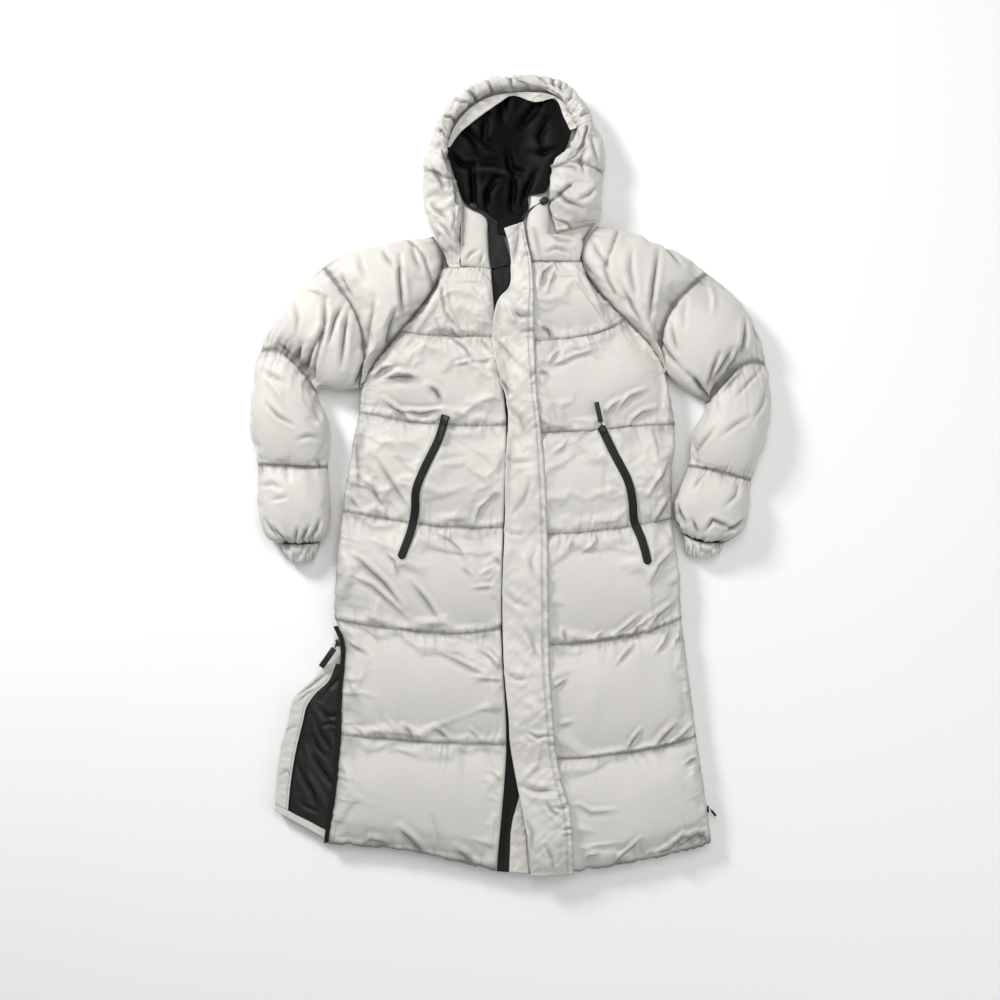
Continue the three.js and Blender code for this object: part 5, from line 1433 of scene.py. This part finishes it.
slitPlaces = [4.35 + 1.55 * k / 10 for k in range(11)]
slitFacingRows = slitRowsOf(slitPlaces, lambda length: slitCut["margin"], facingInset)
slitFacing = levelStrip("slit", slitFacingRows, 14, 150)
facingCreases = [[[(292, 699), (309, 688), (331, 670)], 3, 2.2], [[(299, 701), (307, 694), (314, 690)], 3, 2.2],
                 [[(283, 735), (290, 728), (299, 726)], 4, 1.6], [[(280, 775), (287, 770), (292, 776)], 4, 1.6]]
relieved(slitFacing, lambda x, y, across, down: np.maximum(
    0.9 * softNoise(down * 14, across * 1.2, 101) + 0.7 * softNoise(down * 42, across * 2, 103) + 1.6
    - 1.0 * np.exp(-((across - slitCut["stitchShare"]) / 0.05) ** 2) - creased(x, y, facingCreases), -0.6))
x, y, across, down = placesOf(slitFacing)
# Painted shade in the creases and along the stitched line.
markShadeAndSeams(slitFacing, np.maximum(creased(x, y, facingCreases), 0) / 3
          + 0.4 * np.exp(-((across - slitCut["stitchShare"]) / 0.04) ** 2), np.full(len(x), 0.5))
sheetPiece("slit_facing", slitFacing, 1.0)
hemRows = slitRowsOf([5.905, 5.945, 5.985], lambda length: slitCut["margin"], lambda length: length - 1)
hemFacing = levelStrip("slit", hemRows, 40, 8)
relieved(hemFacing, lambda x, y, across, down: 0.7 * softNoise(x / 8, y / 14, 105) + 0.6)
sheetPiece("slit_hem_facing", hemFacing, 1.0)

slitCreases = [
    [[(310, 709), (322, 735), (327, 745)], 5, 3], [[(323, 699), (328, 690), (340, 677)], 5, 3],
    [[(321, 710), (330, 717), (336, 715)], 5, 3.5], [[(321, 727), (329, 723), (336, 725)], 4, 3],
    [[(313, 735), (318, 748), (324, 755)], 5, 2.5], [[(296, 761), (304, 777), (313, 792), (316, 807)], 6, 3.5],
    [[(307, 772), (317, 790), (327, 808)], 6, -3], [[(314, 757), (325, 774), (335, 788)], 6, 3.5],
    [[(300, 800), (306, 806), (318, 812)], 4, 2.5], [[(305, 742), (309, 756), (306, 768)], 5, -2.5],
    [[(316, 703), (313, 716), (317, 728)], 5, -2.5], [[(331, 735), (335, 748), (333, 762)], 5, -2.5],
]


def slitRelief(x, y, across, down):
    rim = np.clip(np.minimum(across, 1 - across) / 0.1, 0, 1)
    return np.maximum(rim * (3.2 + 1.4 * softNoise(x / 22, y / 45, 107) - creased(x, y, slitCreases)), -0.4)


slitLiningRows = slitRowsOf(slitPlaces, lambda length: facingInset(length) + 0.3, lambda length: length - 1)
slitLining = relieved(levelStrip("slit", slitLiningRows, 40, 150), slitRelief)
# Painted shade in the lining's hollows and painted highlight on its folds' tops.
shadeByRise(slitLining, slitRelief, 0.9, 4)
sheetPiece("slit_lining", slitLining, 1.0, slitCloth)
slitTapeRows = []
for k in range(24):
    edge = slitEdges(4.06 + 1.94 * k / 23)[1]
    slitTapeRows.append([(edge[0] - slitCut["tape"], edge[1] - 1), (edge[0] - 0.6, edge[1])])
slitTape = levelStrip("slitTape", slitTapeRows, 10, 260)
relieved(slitTape, lambda x, y, across, down: 0.7 * np.exp(-(across / 0.2) ** 2) * (1 + 0.6 * np.sin(y * 2.2)))
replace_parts(finished("slit_tape", thinShell(slitTape, 1.2), tapeCloth), "slit_zip_tape")
print("slit finished")

# Storm flap: a long double layer, lying on both fronts and held by two rows of stitches.
flapCut = {"columns": 34, "rows": 440, "thickness": 3.2, "reach": 7, "width": 60, "stitchFrom": 8, "restColumns": 8,
           "restRows": 150}
flapCreases = [
    [[(519, 226), (517, 245), (514, 264)], 6, 4.5], [[(504, 303), (509, 312), (517, 328)], 5, -3.5],
    [[(512, 313), (521, 318), (531, 319)], 6, 5.5], [[(522, 335), (530, 332), (540, 333)], 4, 3.5],
    [[(496, 339), (507, 352), (515, 364)], 4, 4.5],
    [[(500, 380), (505, 386), (510, 395)], 3.5, 5], [[(528, 382), (533, 376), (538, 372)], 3.5, 4],
    [[(508, 405), (520, 420), (527, 440)], 5, 3.5], [[(503, 455), (515, 463), (530, 462)], 5, 3.5],
    [[(530, 480), (524, 500), (512, 515)], 5, 3.5], [[(503, 528), (514, 534), (526, 533)], 4, 3.5],
    [[(536, 545), (530, 560), (534, 580)], 5, 3.5], [[(504, 590), (516, 602), (530, 606)], 5, 3],
    [[(524, 628), (533, 640), (536, 660)], 5, 3.5], [[(505, 670), (516, 678), (530, 676)], 5, 3],
    [[(529, 731), (537, 735), (545, 733)], 3.5, 4], [[(539, 742), (536, 762), (519, 781)], 5, -3.5],
    [[(522, 784), (537, 788), (553, 787)], 6, 4.5], [[(546, 799), (551, 807), (559, 813)], 4, 4.5],
    [[(553, 804), (567, 804)], 3.5, 3.5], [[(562, 826), (573, 823)], 3.5, 3.5],
    [[(524, 815), (532, 830), (530, 850)], 5, 3.5], [[(545, 842), (552, 856), (552, 868)], 4, 3.5],
]
flapRest = madeTrees("front_right_cloth", "front_left_cloth", "centre_tape", "hem_underlap_cloth",
                     "collar_left_cloth", "neck_facing_cloth")


# The highest cloth under each point of a grid between a table's two edges, a reach round it counted in.
def restingGrid(trees, rows, columns, rowCount, reach):
    heights = np.zeros((rowCount + 1, columns + 1))
    for r in range(rowCount + 1):
        left, right = rowPoints(rows, r / rowCount * (len(rows) - 1))
        for c in range(columns + 1):
            x, y = (left[k] + (right[k] - left[k]) * c / columns for k in (0, 1))
            heights[r, c] = max(topAt(trees, (x + dx) * mm, (y + dy) * mm) for dx, dy in around(reach))
    return heights


def evened(grid):
    wide = np.pad(grid, 1, mode="edge")
    return (wide[:-2, 1:-1] + wide[2:, 1:-1] + wide[1:-1, :-2] + wide[1:-1, 2:] + 2 * grid) / 6


restGrid = np.maximum(restingGrid(flapRest, flapRows, flapCut["restColumns"], flapCut["restRows"], flapCut["reach"]),
                      0.039)
for _ in range(2):
    restGrid = evened(np.maximum(restGrid, evened(restGrid)))
restGrid /= mm


def flapHeight(share, down):
    r, c = down * flapCut["restRows"], share * flapCut["restColumns"]
    i, j = min(int(r), flapCut["restRows"] - 1), min(int(c), flapCut["restColumns"] - 1)
    a = restGrid[i, j] * (1 - c + j) + restGrid[i, j + 1] * (c - j)
    b = restGrid[i + 1, j] * (1 - c + j) + restGrid[i + 1, j + 1] * (c - j)
    return a * (1 - r + i) + b * (r - i) + flapCut["thickness"] + 0.8


# Tucks along the flap's sewn edge.
def flapTucks(x, y, fromSewn):
    return np.exp(-(softNoise(y / 16, x / 40, 129) / 0.2) ** 2) * np.exp(-fromSewn / 16)


# The flap's two rows of stitches, each a groove of the width.
def flapStitching(fromSewn, width):
    return np.exp(-(fromSewn / width) ** 2) + np.exp(-((fromSewn - flapCut["stitchFrom"]) / width) ** 2)


def flapRelief(x, y, across, down):
    fromSewn = (1 - across) * flapCut["width"]
    free = across * flapCut["width"]
    pucker = 1.1 * softNoise(y / 6, x / 25, 121) * np.exp(-fromSewn / 14)
    folds = 1.5 * softNoise(x / 34, y / 60, 123) + 1.1 * softNoise((x + y) / 18, (y - x) / 42, 125)
    folds += 0.8 * softNoise((x - y) / 9, (y + x) / 24, 127)
    rise = ((1.9 * folds + 1.6) * np.clip(free / 8, 0, 1) + 1.4 * pucker - 1.6 * flapStitching(fromSewn, 1.6)
            - 1.8 * flapTucks(x, y, fromSewn) - 1.4 * creased(x, y, flapCreases) * np.clip(free / 3, 0, 1))
    return np.where(rise < -2.4, -2.4 + (rise + 2.4) * 0.25, rise)


flap = relieved(stripMesh(flapRows, flapCut["columns"], flapCut["rows"], flapHeight), flapRelief)
x, y, across, down = placesOf(flap)
fromSewn = (1 - across) * flapCut["width"]
# Painted shade in the creases, the tucks and along the rows of stitches.
markShadeAndSeams(flap, paintedCreaseShade(creased(x, y, flapCreases)) + 0.3 * flapTucks(x, y, fromSewn)
          + 0.35 * flapStitching(fromSewn, 1.5), np.exp(-fromSewn / 16))
sheetPiece("storm_flap", flap, flapCut["thickness"])
print("storm flap finished")

# Pocket zips: coated tape with a fine gap down the middle and rounded ends.
pocketCut = {"width": 15, "thickness": 1.8, "steps": 120, "columns": 14, "roundEnd": 7.5}


def pocketRelief(x, y, across, down):
    gap = 0.7 * np.exp(-((across - 0.5) / 0.035) ** 2)
    rims = 0.35 * np.exp(-((np.abs(across - 0.5) - 0.4) / 0.03) ** 2)
    return 1.9 + 0.5 * np.cos((across - 0.5) * 2.6) - gap - rims


for side in ("right", "left"):
    route = splinePoints([(x, y, 0) for x, y in pocketLines[side]], pocketCut["steps"])
    heights = [underAt(zipNodes[side], point.x * mm, point.y * mm) for point in route]
    known = [(k, h) for k, h in enumerate(heights) if h is not None]
    heights = np.interp(range(len(heights)), [k for k, h in known], [h for k, h in known])
    heights = np.convolve(np.pad(heights, 6, mode="edge"), np.ones(13) / 13, mode="valid") / mm
    runs = [0]
    for a, b in zip(route, route[1:]):
        runs.append(runs[-1] + (b - a).length)
    pocketRows = []
    for k, point in enumerate(route):
        tangent = (route[min(k + 1, len(route) - 1)] - route[max(k - 1, 0)]).normalized()
        toEnd = min(runs[-1] - runs[k], pocketCut["roundEnd"] - 0.1)
        half = pocketCut["width"] / 2 * math.sqrt(max(1 - (1 - toEnd / pocketCut["roundEnd"]) ** 2, 0.02))
        pocketRows.append([(point.x + tangent.y * half, point.y - tangent.x * half),
                           (point.x - tangent.y * half, point.y + tangent.x * half)])
    strip = stripMesh(pocketRows, pocketCut["columns"], pocketCut["steps"] * 2,
                      lambda share, down: float(np.interp(down * pocketCut["steps"], range(len(heights)), heights)))
    shell = thinShell(relieved(strip, pocketRelief), pocketCut["thickness"])
    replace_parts(finished(f"pocket_tape_{side}", shell, tapeCloth), f"pocket_zip_tape_{side}")


# The frame of a fitting: where it is fixed, which way it points and which way is up.
def fittingFrame(origin, along, up=(0, 0, 1)):
    along = Vector(along).normalized()
    side = Vector(up).cross(along).normalized()
    top = along.cross(side)
    return Matrix((along, side, top)).transposed().to_4x4() + Matrix.Translation(origin) - Matrix.Identity(4)


# A block with rounded edges, all its sizes in millimetres.
def bevelledBlock(bm, size, spot, bevel, segments=2):
    place = Matrix.Scale(mm, 4) @ Matrix.Translation(spot) @ Matrix.Diagonal((*size, 1))
    made = bmesh.ops.create_cube(bm, size=1, matrix=place)["verts"]
    edges = list({edge for vert in made for edge in vert.link_edges})
    bmesh.ops.bevel(bm, geom=edges, offset=bevel * mm, offset_type="OFFSET", affect="EDGES", segments=segments,
                    profile=0.5, material=-1, clamp_overlap=True)


# A ring of round wire, its sizes in millimetres, always the first thing in its mesh.
def ringAt(bm, matrix, radius, wire, stretch=1.0):
    verts = [bm.verts.new((0, radius + wire * math.cos(a), wire * math.sin(a)))
             for a in (2 * math.pi * k / 8 for k in range(8))]
    edges = [bm.edges.new((verts[k], verts[(k + 1) % 8])) for k in range(8)]
    bmesh.ops.spin(bm, geom=edges, cent=(0, 0, 0), axis=(0, 0, 1), angle=2 * math.pi, steps=20, use_merge=True)
    bmesh.ops.transform(bm, matrix=matrix @ Matrix.Diagonal((stretch * mm, mm, mm, 1)), verts=bm.verts)


# A hard piece in place of a node, its edges kept sharp past the angle.
def hardPiece(name, node, bm, material, body="coat", sharp=None):
    piece = finished(name, smoothMesh(bm), material, body)
    if sharp:
        piece.modifiers.new("edges", "EDGE_SPLIT").split_angle = math.radians(sharp)
    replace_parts(piece, node)


# Sliders: a waisted body with a bridge over it. Pulls: a ring and a ribbed rubber tab.
zips = {
    "right_pocket": {"slider": "pocket_zip_slider_right", "pull": "pocket_zip_pull_right", "spot": (-120, 104),
                     "turn": -104, "length": 42, "width": 7.2},
    "left_pocket": {"slider": "pocket_zip_slider_left", "pull": "pocket_zip_pull_left", "spot": (168, 88),
                    "turn": 117, "length": 50, "width": 9},
    "slit": {"slider": "slit_zip_slider", "pull": "slit_zip_pull", "spot": (-318, -306), "turn": -79, "length": 54,
             "width": 11},
}
# Size, spot and bevel of a slider's wings, body and bridge.
sliderBlocks = [[(13, 8.6, 1.4), (0, 0, 0.9), 0.6], [(12, 8, 1.2), (0, 0, 2.7), 0.5],
                [(4, 3, 2.4), (-3, 0, 1.9), 0.4], [(9, 2.2, 1.0), (0, 0, 3.75), 0.4]]
for look in zips.values():
    node = look["slider"]
    low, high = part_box(node)
    turn = math.radians(look["turn"])
    place = Matrix.Translation((look["spot"][0] * mm, look["spot"][1] * mm, low[2])) @ Matrix.Rotation(turn, 4, "Z")
    bm = bmesh.new()
    for block in sliderBlocks:
        bevelledBlock(bm, *block)
    bmesh.ops.transform(bm, matrix=place, verts=bm.verts)
    hardPiece(f"{node}_metal", node, bm, metal, sharp=40)

pullCut = {"ring": 2.448, "wire": 0.75, "ringAt": 3.2, "stretch": 1.4, "tabFrom": 12, "thick": 2.2, "ribs": 7,
           "ribsFrom": 0.2, "ribsSpan": 0.68}
for name, look in zips.items():
    node = look["pull"]
    solid = pointsOf(nodes[node].data)
    root = Vector((look["spot"][0] * mm, look["spot"][1] * mm, 0))
    reach = np.hypot(solid[:, 0] - root.x, solid[:, 1] - root.y)
    atRoot, atTip = solid[reach < reach.max() * 0.12], solid[reach > reach.max() * 0.93]
    root.z = float(atRoot[:, 2].mean())
    tip = Vector(atTip.mean(axis=0))
    place = fittingFrame(root, tip - root)
    bm = bmesh.new()
    ringAt(bm, Matrix.Translation((pullCut["ringAt"] * mm, 0, 0)), pullCut["ring"], pullCut["wire"],
           pullCut["stretch"])
    bevelledBlock(bm, (8, 2.2, 1.5), (9, 0, 0), 0.5)
    start, tabLength = pullCut["tabFrom"], look["length"] - pullCut["tabFrom"]
    bevelledBlock(bm, (tabLength, look["width"], pullCut["thick"]), (start + tabLength / 2, 0, 0), 0.9, 3)
    for k in range(pullCut["ribs"]):
        share = pullCut["ribsFrom"] + pullCut["ribsSpan"] * k / (pullCut["ribs"] - 1)
        rib = (1.1, look["width"] - 1.2, pullCut["thick"] + 0.6)
        bevelledBlock(bm, rib, (start + tabLength * share, 0, 0), 0.3, 1)
    bmesh.ops.transform(bm, matrix=place, verts=bm.verts)
    hardPiece(f"{node}_rubber", node, bm, rubber, f"{name}_pull", 40)

# Side zip: its small slider on edge, with a short knob of a pull.
low, high = (Vector(corner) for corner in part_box("side_zip_slider"))
bm = bmesh.new()
bevelledBlock(bm, (high - low) / mm, (low + high) / 2 / mm, 0.9, 3)
hardPiece("side_slider_metal", "side_zip_slider", bm, metal)
sidePull = {"spot": (370.57, -615.48, 18), "turn": -52, "length": 16, "width": 8, "thick": 4.6, "ring": 2.4,
            "wire": 1.1, "tabFrom": 3.6}
bm = bmesh.new()
ringAt(bm, Matrix.Translation((2.6 * mm, 0, 0)) @ Matrix.Rotation(math.pi / 2, 4, "X"), sidePull["ring"],
       sidePull["wire"])
bevelledBlock(bm, (sidePull["length"] - sidePull["tabFrom"], sidePull["thick"], sidePull["width"]),
              ((sidePull["length"] + sidePull["tabFrom"]) / 2, 0, 0), 1.6, 4)
bmesh.ops.transform(bm, verts=bm.verts, matrix=Matrix.Translation([v * mm for v in sidePull["spot"]])
                    @ Matrix.Rotation(math.radians(sidePull["turn"]), 4, "Z"))
hardPiece("side_pull_rubber", "side_zip_pull", bm, rubber, "side_pull")

# Cord locks: a spun barrel with a button that stands out of its end.
lockCut = {"profile": [(-8.4, 0), (-8.4, 3.4), (-7.6, 4.2), (-5.6, 4.4), (-5.2, 5.4), (-4, 6.4), (0, 6.9), (4, 6.5),
                       (6.6, 5.2), (8, 3.2), (8.4, 0)], "flatten": 0.86}
for side in ("right", "left"):
    low, high = (Vector(corner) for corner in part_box(f"cord_lock_{side}"))
    first, second = (Vector(point) for point in drawcordEnds[side][:2])
    heading = Vector((second.x - first.x, second.y - first.y, 0))
    bm = bmesh.new()
    chain = [bm.verts.new((along * mm, out * mm, 0)) for along, out in lockCut["profile"]]
    edges = [bm.edges.new(pair) for pair in zip(chain, chain[1:])]
    bmesh.ops.spin(bm, geom=edges, cent=(0, 0, 0), axis=(1, 0, 0), angle=2 * math.pi, steps=28, use_merge=True)
    bmesh.ops.remove_doubles(bm, verts=bm.verts, dist=0.01 * mm)
    bmesh.ops.recalc_face_normals(bm, faces=bm.faces)
    bmesh.ops.scale(bm, vec=(1, 1, lockCut["flatten"]), verts=bm.verts)
    bmesh.ops.transform(bm, matrix=fittingFrame((low + high) / 2, heading), verts=bm.verts)
    hardPiece(f"cord_lock_{side}_barrel", f"cord_lock_{side}", bm, rubber, sharp=50)
print("zips, pulls and cord locks finished")


# Small stitches, or a zip's teeth, along lines on a piece of cloth, made forty at a time.
def stitched(name, lines, cloth, sizes, material=threadGrey, toothed=False):
    trees, (pitch, length, thread) = madeTrees(cloth), sizes
    spaced = []
    for line in lines:
        route = [Vector((x * mm, y * mm, 0)) for x, y in line]
        carried = 0.0
        for a, b in zip(route, route[1:]):
            step = (b - a).length
            while carried < step and step > 0:
                spaced.append((a.lerp(b, carried / step), (b - a).normalized()))
                carried += pitch * mm
            carried -= step
    places = []
    for point, heading in spaced:
        ends = [topAt(trees, *(point + heading * s * length * mm / 2).to_2d()) for s in (-1, 1)]
        if min(ends) > 0 and abs(ends[0] - ends[1]) < length * mm:
            lie = Vector((heading.x, heading.y, (ends[1] - ends[0]) / (length * mm)))
            centre = Vector((point.x, point.y, sum(ends) / 2 + thread * mm * 0.15))
            places.append(fittingFrame(centre, lie))
    size = Matrix.Diagonal((length / 2 * mm, thread / 2 * mm, (0.7 if toothed else thread / 2) * mm, 1))
    whole = bmesh.new()
    for start in range(0, len(places), 40):
        part = bmesh.new()
        for place in places[start:start + 40]:
            bmesh.ops.create_uvsphere(part, u_segments=6, v_segments=4, radius=1, matrix=place @ size)
        batch = meshFrom(part, "batch")
        whole.from_mesh(batch)
        bpy.data.meshes.remove(batch)
    finished(name, smoothMesh(whole), material)


# A smooth line at a share of the way across a table's rows.
def lineAlong(rows, share, count):
    line = [tuple(a + (b - a) * share for a, b in zip(*row)) for row in rows]
    return [tuple(point.to_2d()) for point in splinePoints([(x, y, 0) for x, y in line], count)]


# Sizes in millimetres: from one stitch to the next, its length, its thickness.
stitchSizes = {"quilt": (4.2, 3.0, 0.9), "flap": (3.6, 2.6, 0.9), "collar": (3.6, 2.6, 0.8), "hood": (3.8, 2.7, 0.8),
               "teeth": (2.7, 1.5, 3.4)}
for side, seamEnd in (("right", 0.98), ("left", 0.72)):
    lines = [[parabola(*frontRow(side, place), 0.03 + (seamEnd - 0.03) * step / 24) for step in range(25)]
             for place in range(1, baffles)]
    stitched(f"front_{side}_stitches", lines, f"front_{side}_cloth", stitchSizes["quilt"])
    lines = [[acrossRow(sleeveRow(side, place), 0.05 + 0.9 * step / 20) for step in range(21)]
             for place in range(1, sleeveBaffles)]
    stitched(f"sleeve_{side}_stitches", lines + [shoulderLines[side]], f"sleeve_{side}_cloth", stitchSizes["quilt"])
stitched("storm_flap_stitches", [lineAlong([row[::-1] for row in flapRows], share, 120) for share in (0.03, 0.16)],
         "storm_flap_cloth", stitchSizes["flap"])
for side in ("right", "left"):
    stitched(f"collar_{side}_stitches", collarSeams[side], f"collar_{side}_cloth", stitchSizes["collar"])
    stitched(f"hood_{side}_stitches", hoodSeams[side], f"hood_{side}_cloth", stitchSizes["hood"])
stitched("slit_facing_stitches", [lineAlong(slitFacingRows, slitCut["stitchShare"], 60)], "slit_facing_cloth",
         stitchSizes["collar"])
slitTeeth = [(row[0][0] + 1.6, row[0][1]) for row in slitTapeRows]
stitched("slit_zip_teeth", [slitTeeth], "slit_tape", stitchSizes["teeth"], rubber, True)
centreTeeth = [((a[0] + b[0]) / 2, (a[1] + b[1]) / 2) for a, b in tapeRows]
stitched("centre_zip_teeth", [centreTeeth], "centre_tape", stitchSizes["teeth"], rubber, True)
print("stitches and zip teeth finished")

# Floor and light.
bm = bmesh.new()
bmesh.ops.create_grid(bm, x_segments=1, y_segments=1, size=6)
floor = meshFrom(bm, "floor")
floorPiece = bpy.data.objects.new("floor", floor)
scene.collection.objects.link(floorPiece)
paper, shader, field, spot = newMaterial("palePaper")
feed(shader, "Base Color", mixed(field, noiseField(field, spot, 0.5), grey(0.93), grey(0.95)))
shader.inputs["Roughness"].default_value = 0.9
floor.materials.append(paper)

lights = {"key": {"spot": (-1.8, 1.8, 1.75), "size": 0.7, "power": 66},
          "top": {"spot": (0.3, 0.9, 2.9), "size": 1.6, "power": 29},
          "fill": {"spot": (1.9, -0.9, 2.0), "size": 2.0, "power": 16}}
for name, look in lights.items():
    lamp = bpy.data.lights.new(name, "AREA")
    lamp.shape = "SQUARE"
    lamp.size = look["size"]
    lamp.energy = look["power"]
    holder = bpy.data.objects.new(name, lamp)
    holder.location = look["spot"]
    holder.rotation_euler = (Vector(look["spot"]) * -1).to_track_quat("-Z", "Y").to_euler()
    scene.collection.objects.link(holder)
world = bpy.data.worlds.new("studio")
world.use_nodes = True
world.node_tree.nodes["Background"].inputs["Color"].default_value = (1, 1, 1, 1)
world.node_tree.nodes["Background"].inputs["Strength"].default_value = 0.33
scene.world = world
scene.view_settings.view_transform = "Standard"
